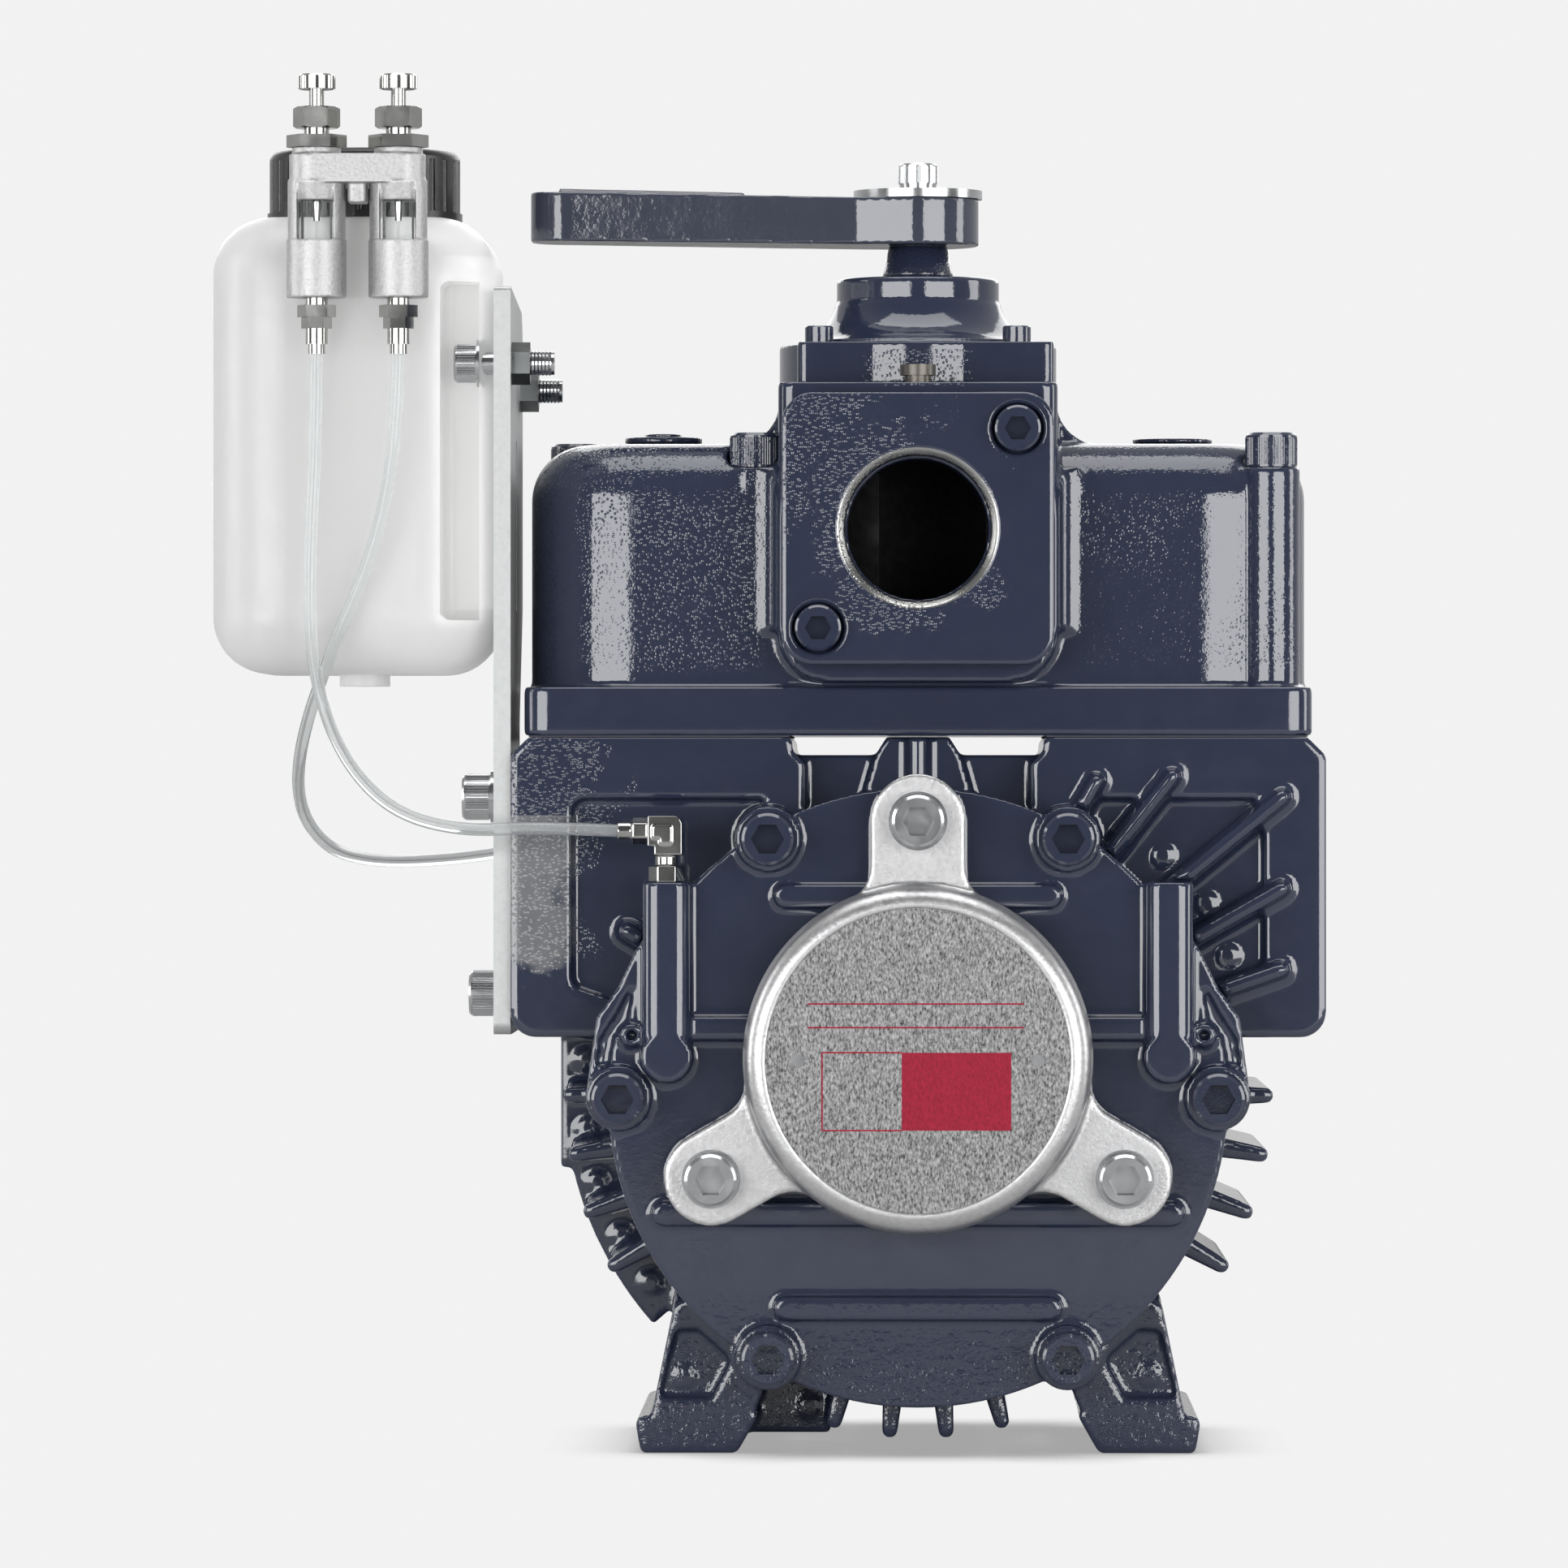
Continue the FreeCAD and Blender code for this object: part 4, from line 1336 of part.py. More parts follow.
def elbow():
    """The angle fitting on a cover's oil gallery: hex, upright neck, elbow and tube nut."""
    x, y, h = -GALLERY_X, -COVER_FACE - ELBOW_INSET, ELBOW_HALF
    stem = rod_z(x, y, ELBOW_STEM_R, GALLERY_TOP - ELBOW_STEM_L, GALLERY_TOP + 1)
    hexagon = stand(regular(NUT_SIDES, ELBOW_HEX, ELBOW_HEX_H), (x, y, GALLERY_TOP), (0, 0, 1))
    neck = rod_z(x, y, ELBOW_NECK_R, GALLERY_TOP + ELBOW_HEX_H - 0.6, ELBOW_Z - 3)
    low = ELBOW_Z - h - ELBOW_ARM
    block = prism_y([(x - h - 1.3, ELBOW_Z - h), (x - h + 0.9, ELBOW_Z - h), (x - h + 0.9, low),
                     (x + h + 0.2, low), (x + h + 0.2, ELBOW_Z + h), (x - h - 1.3, ELBOW_Z + h)],
                    y - h, y + h, [0, 0, 0, 0, ELBOW_ROUND_R, 0])
    pad = prism_y([(x - 4.8, ELBOW_Z - 2.5), (x - 2.3, ELBOW_Z - 2.5), (x - 2.3, ELBOW_Z - 4.4),
                   (x + 1.7, ELBOW_Z - 4.4), (x + 1.7, ELBOW_Z + 1.8), (x - 4.8, ELBOW_Z + 1.8)],
                  y - h - ELBOW_PAD_T, y - h + 1, 0.6)
    nut = stand(regular(NUT_SIDES, ELBOW_NUT, ELBOW_NUT_H), (x - 12, y, ELBOW_Z), (1, 0, 0))
    sleeve = rod_x(y, ELBOW_Z, ELBOW_SLEEVE_R, ELBOW_END_X, x - 11.9)
    body = fused([stem, hexagon, neck, block, pad, nut, sleeve])
    return cut(body, [rod_x(y, ELBOW_Z, FEED_BORE_R, ELBOW_END_X - 1, x)])


def tube(points, name):
    """A hose along straight runs joined by tangent arcs, each as large as its runs allow."""
    nodes = [V(*p) for p in points]
    edges = []
    radii = []
    start = nodes[0]
    for i in range(1, len(nodes) - 1):
        before = nodes[i - 1] - nodes[i]
        after = nodes[i + 1] - nodes[i]
        turn = math.pi - before.getAngle(after)
        back = 0.45 * min(before.Length, after.Length)
        r = back / math.tan(turn / 2)
        radii.append(round(r, 1))
        u, w = before.normalize(), after.normalize()
        bisector = (u + w).normalize()
        centre = nodes[i] + bisector * (r / math.cos(turn / 2))
        a, b = nodes[i] + u * back, nodes[i] + w * back
        edges.append(Part.LineSegment(start, a).toShape())
        edges.append(Part.Arc(a, centre - bisector * r, b).toShape())
        start = b
    edges.append(Part.LineSegment(start, nodes[-1]).toShape())
    path = Part.Wire(edges)
    along = (nodes[1] - nodes[0]).normalize()
    section = Part.Wire([Part.Circle(nodes[0], along, TUBE_R).toShape()])
    solid = path.makePipeShell([section], True, False)
    share = solid.Volume / (math.pi * TUBE_R ** 2 * path.Length)
    print(name, "length", round(path.Length, 1), "volume share", round(share, 4), "radii", radii)
    return solid


def screws_on_face(size, places, face, length):
    return Part.Compound([socket_screw(size, length, (x, -face, z), (0, -1, 0)) for x, z in places])


def pieces():
    """Every node of the pump with its shape."""
    out = {"pump_housing": housing()}
    cover = front_cover()
    out["front_end_cover"] = cover
    out["rear_end_cover"] = mirrored(cover)
    sheet = cut(cover_outline(-COVER_BACK, -HALF),
                [rod_y(0, CYL_Z, BORE_R, -COVER_BACK - 1, -HALF + 1)]
                + [rod_y(x, z, M12[0] + FIT_GAP, -COVER_BACK - 1, -HALF + 1)
                   for x, z in cover_screw_places()])
    out["front_cover_gasket"] = sheet
    out["rear_cover_gasket"] = mirrored(sheet)
    screws = screws_on_face(M12, cover_screw_places(), COVER_FACE + COVER_BOSS_RISE,
                            COVER_T + COVER_BOSS_RISE + GASKET_T + COVER_SCREW_GRIP)
    out["cover_screws"] = Part.Compound([screws, mirrored(screws)])
    out["front_bearing_cap"] = front_cap()
    out["rear_bearing_cap"] = rear_cap()
    seat = PAD_FACE + CAP_LOBE_T
    flat = Part.Compound([washer(M12[0] + FIT_GAP, CAP_WASHER_R, CAP_WASHER_T, (x, -seat, z), (0, -1, 0))
                          for x, z in cap_screw_places()])
    out["cap_washers"] = Part.Compound([flat, mirrored(flat)])
    screws = screws_on_face(M12, cap_screw_places(), seat + CAP_WASHER_T,
                            CAP_LOBE_T + CAP_WASHER_T + THREAD_GRIP)
    out["cap_screws"] = Part.Compound([screws, mirrored(screws)])
    plate_y0, plate_y1 = -CAP_FACE, -CAP_FACE + LABEL_T
    out["name_plate"] = cut(rod_y(0, ROTOR_Z, LABEL_R, plate_y0, plate_y1),
                            [rod_y(x * LABEL_RIVET_X, ROTOR_Z, RIVET_R, plate_y0 - 1, plate_y1 + 1)
                             for x in (-1, 1)])
    out["name_plate_rivets"] = Part.Compound([
        fused([rod_y(x * LABEL_RIVET_X, ROTOR_Z, RIVET_R, plate_y0 - 0.2, plate_y1 + 3),
               rod_y(x * LABEL_RIVET_X, ROTOR_Z, RIVET_HEAD_R, plate_y0 - RIVET_RISE, plate_y0)])
        for x in (-1, 1)])
    for end, word in ((-1, "front"), (1, "rear")):
        out[word + "_bearing_outer_ring"] = race(OUTER_RACE_R, BEARING_OUTER_R, end)
        out[word + "_bearing_inner_ring"] = race(BEARING_INNER_R, INNER_RACE_R, end)
        out[word + "_bearing_rollers"] = rollers(end)
    y0 = CAP_FACE - LABEL_T - SEAL_T
    out["shaft_seal"] = rod_y(0, ROTOR_Z, SEAL_R, y0, y0 + SEAL_T).cut(
        rod_y(0, ROTOR_Z, SHAFT_SEAL_R + RUN_GAP, y0, y0 + SEAL_T))
    out["rotor"] = rotor()
    out["drive_shaft"] = shaft()
    out["vanes"] = vanes()

    out["manifold"] = manifold()
    out["manifold_gasket"] = manifold_gasket()
    out["manifold_screws"] = Part.Compound([
        socket_screw(M12, STAY_SEAT - BOX_TOP + STAY_DEPTH, (x, y, STAY_SEAT), (0, 0, 1))
        for x, y in stay_places()])
    seat = DOME_TOP + PLUG_SEAT_RISE
    plugs = []
    for x, discs in ((-PLUG_X, LEFT_PLUG), (PLUG_X, RIGHT_PLUG)):
        stem = rod_z(x, 0, PLUG_BORE_R, DOME_TOP - DOME_WALL, seat + 0.5)
        plugs.append(fused([stem] + [rod_z(x, 0, r, seat, seat + rise) for r, rise in discs]))
    out["manifold_plugs"] = Part.Compound(plugs)
    flange, gasket, screws = front_port_flange(), front_port_gasket(), port_screws()
    out["front_port_flange"] = flange
    out["rear_port_flange"] = turned_about(flange)
    out["port_gaskets"] = Part.Compound([gasket, turned_about(gasket)])
    out["port_screws"] = Part.Compound([screws, turned_about(screws)])
    out["valve_cover"] = valve_cover()
    out["valve_cover_gasket"] = valve_cover_gasket()
    out["valve_cover_screws"] = Part.Compound([
        socket_screw(M6, LID_T + 10, (LID_SCREW * x, LID_SCREW * y, LID_LOW + LID_T), (0, 0, 1))
        for x in (-1, 1) for y in (-1, 1)])
    out["stem_seal"] = washer(SPINDLE_R + RUN_GAP, STEM_SEAL_R, STEM_SEAL_T,
                              (0, 0, LID_TOP - STEM_SEAL_T), (0, 0, 1))
    ledge = -(BODY_FACE_Y + LID_FRONT) / 2
    out["gauge_plug"] = fused([rod_z(0, ledge, GAUGE_HOLE_R, BODY_TOP - GAUGE_DEPTH + 1, BODY_TOP + 1)]
                              + [rod_z(0, ledge, r, BODY_TOP + low, BODY_TOP + high)
                                 for r, low, high in GAUGE_PLUG])
    out["valve_rotor"] = valve_rotor().cut(rod_z(0, 0, M8[0] + FIT_GAP, LEVER_TOP - 20, LEVER_TOP + 1))
    out["valve_lever"] = lever()
    out["lever_washer"] = lever_washer()
    out["lever_screw"] = lever_screw()

    out["bracket_plate"] = bracket_plate()
    face = PLATE_X - PLATE_WASHER_T
    length = PLATE_T + PLATE_WASHER_T + PLATE_SCREW_GRIP
    out["bracket_screws"] = Part.Compound([socket_screw(M10, length, (face, y, z), (-1, 0, 0))
                                           for y, z in PLATE_SCREWS])
    out["bracket_washers"] = Part.Compound([
        washer(M10[0] + FIT_GAP, PLATE_WASHER_R, PLATE_WASHER_T, (PLATE_X, y, z), (-1, 0, 0))
        for y, z in PLATE_SCREWS])
    out["bottle_washers"] = Part.Compound([
        washer(M8[0] + FIT_GAP, BOTTLE_WASHER_R, BOTTLE_WASHER_T, (TAB_X, y, z), (-1, 0, 0))
        for y, z in BOTTLE_SCREWS])
    length = BOTTLE_WASHER_T + BOTTLE_TAB_T + PLATE_T + BOTTLE_SCREW_END
    out["bottle_screws"] = Part.Compound([
        socket_screw(M8, length, (TAB_X - BOTTLE_WASHER_T, y, z), (-1, 0, 0)) for y, z in BOTTLE_SCREWS])
    flats, height = BOTTLE_NUT
    nut = regular(NUT_SIDES, flats, height).cut(Part.makeCylinder(M8[0] + FIT_GAP, height))
    out["bottle_nuts"] = Part.Compound([stand(nut, (PLATE_X + PLATE_T, y, z), (1, 0, 0))
                                        for y, z in BOTTLE_SCREWS])
    out["oil_bottle"] = oil_bottle()
    out["bottle_cap"] = bottle_cap()
    out["oiler_block"] = oiler_block()
    out["sight_glasses"] = sight_glasses()
    out["drip_nozzles"] = drip_nozzles()
    out["needle_glands"] = Part.Compound([gland(x) for x in OILER_X])
    for x, word in zip(OILER_X, ("left", "right")):
        out[word + "_needle"] = needle(x)
        out[word + "_knob"] = knob(x)
    out["feed_fittings"] = Part.Compound([feed_fitting(x) for x in OILER_X])
    out["elbow_fittings"] = Part.Compound([elbow(), mirrored(elbow())])
    out["front_oil_tube"] = tube(FRONT_TUBE, "front_oil_tube")
    out["rear_oil_tube"] = tube(REAR_TUBE, "rear_oil_tube")
    return out


def main():
    os.makedirs("parts", exist_ok=True)
    for name, shape in pieces().items():
        shape.exportStep("parts/" + name + ".step")


main()
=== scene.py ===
import bpy
import json
import math
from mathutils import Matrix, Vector


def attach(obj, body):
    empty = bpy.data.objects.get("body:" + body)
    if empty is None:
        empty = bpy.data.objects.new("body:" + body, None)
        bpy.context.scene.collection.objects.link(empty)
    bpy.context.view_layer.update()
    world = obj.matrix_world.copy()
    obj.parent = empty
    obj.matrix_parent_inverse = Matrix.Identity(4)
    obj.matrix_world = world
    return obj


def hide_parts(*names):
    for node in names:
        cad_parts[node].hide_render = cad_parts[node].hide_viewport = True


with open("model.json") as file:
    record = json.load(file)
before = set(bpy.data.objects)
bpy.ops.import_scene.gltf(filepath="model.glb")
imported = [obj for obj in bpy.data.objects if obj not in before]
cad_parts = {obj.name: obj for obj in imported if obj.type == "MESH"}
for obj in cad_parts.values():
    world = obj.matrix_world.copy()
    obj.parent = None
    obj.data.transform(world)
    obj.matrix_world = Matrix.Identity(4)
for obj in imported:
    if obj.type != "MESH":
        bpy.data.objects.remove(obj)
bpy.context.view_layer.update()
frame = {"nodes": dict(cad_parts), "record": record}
record = frame["record"]

MM = 0.001
BODY_OF = {node: body for body, nodes in record["behaviour"]["bodies"].items() for node in nodes}
SLOT_OF = {part["node"]: part["material_slot"] for part in record["subparts"]}

# The photograph's frame: its side in pixels, pixels per millimetre at the front cover's face,
# the pixel row of the camera's height and the column of the pump's centre line.
PHOTO_PX = 1932
PX_PER_MM = 3.54
CENTRE_COLUMN = 1131
COVER_FACE_Y = -95.5 * MM
CAMERA_BACK = 3.4
CAMERA_Z = 234.5 * MM
SENSOR = 36.0
FAR_CLIP = 30

# The backdrop's tone to the eye, and the studio in the reflections: colour and place from front to rear.
BACKDROP = 0.888
STUDIO = (((0.16, 0.16, 0.165), 0.20), ((0.85, 0.85, 0.85), 0.90))
STUDIO_STRENGTH = 0.75

FLOOR_HALF = 12.0
FLOOR_DROP = 0.2 * MM
FLOOR_BOUNCE = (0.55, 0.55, 0.55)
SHADOW_REACH = 35 * MM
SHADOW_SAMPLES = 8
SHADOW_OPEN = (0.35, 1.0)
SHADOW_TONE = 0.42

# Each light's place, width, height and power. All of them aim at one point.
LIGHT_AIM = (0, 0, 0.26)
LIGHTS = {
    "soft_left": ((-1.20, -2.00, 0.34), 1.74, 0.95, 30),
    "soft_right": ((1.20, -2.00, 0.34), 1.74, 0.95, 30),
    "side_left": ((-2.3, -0.1, 0.6), 0.7, 1.5, 14),
    "side_right": ((2.3, -0.1, 0.6), 0.7, 1.5, 14),
    "soft_top": ((0, -0.3, 2.1), 1.8, 1.2, 20),
    "soft_back": ((0, 1.8, 1.2), 2.4, 1.2, 16),
}


def make_camera():
    """A level camera on the pump's centre line, turned a little left to frame it as the photograph does."""
    data = bpy.data.cameras.new("camera")
    camera = bpy.data.objects.new("camera", data)
    bpy.context.scene.collection.objects.link(camera)
    focal_px = PX_PER_MM / MM * CAMERA_BACK
    data.sensor_width = SENSOR
    data.lens = focal_px / PHOTO_PX * SENSOR
    turn = math.atan((CENTRE_COLUMN - PHOTO_PX / 2) / focal_px)
    camera.location = (0, COVER_FACE_Y - CAMERA_BACK, CAMERA_Z)
    camera.rotation_euler = (math.radians(90), 0, turn)
    data.clip_end = FAR_CLIP
    bpy.context.scene.camera = camera


def area_light(name, place, width, height, power):
    """A soft box that faces the common aim."""
    data = bpy.data.lights.new(name, "AREA")
    data.shape = "RECTANGLE"
    data.size, data.size_y = width, height
    data.energy = power
    light = bpy.data.objects.new(name, data)
    bpy.context.scene.collection.objects.link(light)
    light.location = place
    light.rotation_euler = (Vector(LIGHT_AIM) - Vector(place)).to_track_quat("-Z", "Y").to_euler()


def make_world():
    """A pale studio: even to the eye, and darker towards the front in reflections."""
    world = bpy.data.worlds.new("studio")
    bpy.context.scene.world = world
    world.use_nodes = True
    tree = world.node_tree
    out = tree.nodes["World Output"]
    base = tree.nodes["Background"]
    base.inputs["Color"].default_value = (BACKDROP, BACKDROP, BACKDROP, 1)
    light = tree.nodes.new("ShaderNodeBackground")
    coords = tree.nodes.new("ShaderNodeTexCoord")
    split = tree.nodes.new("ShaderNodeSeparateXYZ")
    ramp = tree.nodes.new("ShaderNodeValToRGB")
    half = tree.nodes.new("ShaderNodeMapRange")
    path = tree.nodes.new("ShaderNodeLightPath")
    mix = tree.nodes.new("ShaderNodeMixShader")
    tree.links.new(coords.outputs["Generated"], split.inputs[0])
    half.inputs["From Min"].default_value = -1
    tree.links.new(split.outputs["Y"], half.inputs["Value"])
    tree.links.new(half.outputs[0], ramp.inputs["Fac"])
    for element, (colour, place) in zip(ramp.color_ramp.elements, STUDIO):
        element.color = (*colour, 1)
        element.position = place
    tree.links.new(ramp.outputs["Color"], light.inputs["Color"])
    light.inputs["Strength"].default_value = STUDIO_STRENGTH
    tree.links.new(path.outputs["Is Camera Ray"], mix.inputs["Fac"])
    tree.links.new(light.outputs[0], mix.inputs[1])
    tree.links.new(base.outputs[0], mix.inputs[2])
    tree.links.new(mix.outputs[0], out.inputs["Surface"])


def make_floor():
    """A pale floor of the backdrop's own tone that darkens only in the contact shadow."""
    mesh = bpy.data.meshes.new("floor")
    corners = [(FLOOR_HALF * x, FLOOR_HALF * y, 0) for x, y in ((-1, -1), (1, -1), (1, 1), (-1, 1))]
    mesh.from_pydata(corners, [], [(0, 1, 2, 3)])
    floor = bpy.data.objects.new("floor", mesh)
    bpy.context.scene.collection.objects.link(floor)
    floor.location.z = -FLOOR_DROP
    mat = bpy.data.materials.new("floor_paper")
    mat.use_nodes = True
    tree = mat.node_tree
    tree.nodes.clear()
    out = tree.nodes.new("ShaderNodeOutputMaterial")
    seen = tree.nodes.new("ShaderNodeEmission")
    bounce = tree.nodes.new("ShaderNodeBsdfDiffuse")
    bounce.inputs["Color"].default_value = (*FLOOR_BOUNCE, 1)
    path = tree.nodes.new("ShaderNodeLightPath")
    mix = tree.nodes.new("ShaderNodeMixShader")
    near = tree.nodes.new("ShaderNodeAmbientOcclusion")
    near.samples = SHADOW_SAMPLES
    near.inputs["Distance"].default_value = SHADOW_REACH
    tone = tree.nodes.new("ShaderNodeMapRange")
    tone.inputs["From Min"].default_value = SHADOW_OPEN[0]
    tone.inputs["From Max"].default_value = SHADOW_OPEN[1]
    tone.inputs["To Min"].default_value = SHADOW_TONE * BACKDROP
    tone.inputs["To Max"].default_value = BACKDROP
    tree.links.new(near.outputs["AO"], tone.inputs["Value"])
    tree.links.new(tone.outputs[0], seen.inputs["Strength"])
    tree.links.new(path.outputs["Is Camera Ray"], mix.inputs["Fac"])
    tree.links.new(bounce.outputs[0], mix.inputs[1])
    tree.links.new(seen.outputs[0], mix.inputs[2])
    tree.links.new(mix.outputs[0], out.inputs["Surface"])
    mesh.materials.append(mat)


def make_lights():
    """Two wide soft boxes beside the camera, one at each side, one overhead and one behind."""
    for name, values in LIGHTS.items():
        area_light(name, *values)


class Finish:
    """A material built of a principled shader, with short names for what its nodes need."""

    def __init__(self, name, colour, metallic=0.0, roughness=0.4):
        self.material = bpy.data.materials.new(name)
        self.material.use_nodes = True
        self.tree = self.material.node_tree
        self.shader = self.tree.nodes["Principled BSDF"]
        self.coords = None
        self.set("Base Color", (*colour, 1))
        self.set("Metallic", metallic)
        self.set("Roughness", roughness)

    def set(self, socket, value):
        self.shader.inputs[socket].default_value = value

    def node(self, kind, **values):
        node = self.tree.nodes.new(kind)
        for key, value in values.items():
            setattr(node, key, value)
        return node

    def link(self, a, b):
        self.tree.links.new(a, b)

    def position(self, stretch=(1, 1, 1)):
        """The object's own coordinates in metres, stretched along the axes."""
        if self.coords is None:
            self.coords = self.node("ShaderNodeTexCoord")
        mapping = self.node("ShaderNodeMapping")
        mapping.inputs["Scale"].default_value = stretch
        self.link(self.coords.outputs["Object"], mapping.inputs["Vector"])
        return mapping.outputs[0]

    def axes(self):
        """The object's x, y and z in metres as three values."""
        split = self.node("ShaderNodeSeparateXYZ")
        self.link(self.position(), split.inputs[0])
        return split.outputs

    def inside(self, a, low, high):
        """One where a value lies between two numbers."""
        return self.math("MULTIPLY", self.math("GREATER_THAN", a, low), self.math("LESS_THAN", a, high))

    def noise(self, scale, detail=2.0, rough=0.5, stretch=(1, 1, 1)):
        tex = self.node("ShaderNodeTexNoise")
        tex.inputs["Scale"].default_value = scale
        tex.inputs["Detail"].default_value = detail
        tex.inputs["Roughness"].default_value = rough
        self.link(self.position(stretch), tex.inputs["Vector"])
        return tex.outputs["Fac"]

    def dots(self, scale):
        """Distance to the nearest of many scattered points."""
        tex = self.node("ShaderNodeTexVoronoi")
        tex.inputs["Scale"].default_value = scale
        self.link(self.position(), tex.inputs["Vector"])
        return tex.outputs["Distance"]

    def curve(self, value, low, high, to_low, to_high):
        ranged = self.node("ShaderNodeMapRange")
        for socket, number in (("From Min", low), ("From Max", high), ("To Min", to_low),
                               ("To Max", to_high)):
            ranged.inputs[socket].default_value = number
        self.link(value, ranged.inputs["Value"])
        return ranged.outputs[0]

    def math(self, operation, a, b):
        node = self.node("ShaderNodeMath", operation=operation)
        for socket, value in zip(node.inputs, (a, b)):
            if isinstance(value, (int, float)):
                socket.default_value = value
            else:
                self.link(value, socket)
        return node.outputs[0]

    def bump(self, height, distance, strength=1.0, under=None):
        node = self.node("ShaderNodeBump")
        node.inputs["Distance"].default_value = distance
        if isinstance(strength, (int, float)):
            node.inputs["Strength"].default_value = strength
        else:
            self.link(strength, node.inputs["Strength"])
        self.link(height, node.inputs["Height"])
        if under is not None:
            self.link(under, node.inputs["Normal"])
        return node.outputs[0]

    def normal(self, value):
        self.link(value, self.shader.inputs["Normal"])

    def colours(self, value, low, high):
        """A mix of two colours, each a triple or another node's output."""
        mix = self.node("ShaderNodeMix", data_type="RGBA")
        for socket, colour in ((mix.inputs["A"], low), (mix.inputs["B"], high)):
            if isinstance(colour, tuple):
                socket.default_value = (*colour, 1)
            else:
                self.link(colour, socket)
        self.link(value, mix.inputs["Factor"])
        return mix.outputs["Result"]

    def colour(self, value):
        self.link(value, self.shader.inputs["Base Color"])

    def roughness(self, value):
        self.link(value, self.shader.inputs["Roughness"])


NAVY = (0.0215, 0.0275, 0.053)
NAVY_THIN = (0.026, 0.033, 0.062)
BARE_IRON = (0.42, 0.42, 0.41)
# Painted light: the grey that stands in for glints on the left box's rough patch and for the lever's sheen.
PAINTED_SHEEN_GREY = (0.24, 0.24, 0.235)
PORT_Z = 323.7 * MM
BORE_RING = (25.2 * MM, 28.2 * MM)
PORT_FRONT_Y = 85.4 * MM

# Where the casting's grain shows under the paint, and where painted glints and a painted sheen lighten it,
# as spans in metres over which each fades in or out.
DOME_FOOT_Z = (0.270, 0.277)
DOME_TOP_Z = (0.356, 0.360)
DOME_INNER_X = (0.048, 0.058)
DOME_LEAN_X = (-0.05, 0.05)
FEET_Z = (0.030, 0.062)
PORT_GRAIN_START = (0.022, 0.040)
PORT_GRAIN_END = (0.036, 0.044)
PORT_CORNER = (0.030, 0.060)
LEFT_BOX_X = (-0.122, -0.112)
LEFT_BOX_LOW_Z = (0.166, 0.176)
LEFT_BOX_HIGH_Z = (0.250, 0.253)
VALVE_FLANGE_Z = (0.374, 0.388)
SPINDLE_Z = (0.4153, 0.4266)
SPINDLE_GRAIN_X = (0.008, 0.024)
UPPER_Z = (0.372, 0.3745)
LEVER_SHEEN_Z = (0.4264, 0.4268)
GLINT_PATCH_Z = (0.163, 0.2235)
GLINT_PATCH_X = (-0.123, -0.119)
WANDER = 0.030
PEEL_DEPTH = 0.40 * MM
SPOT_DEPTH = 0.12 * MM


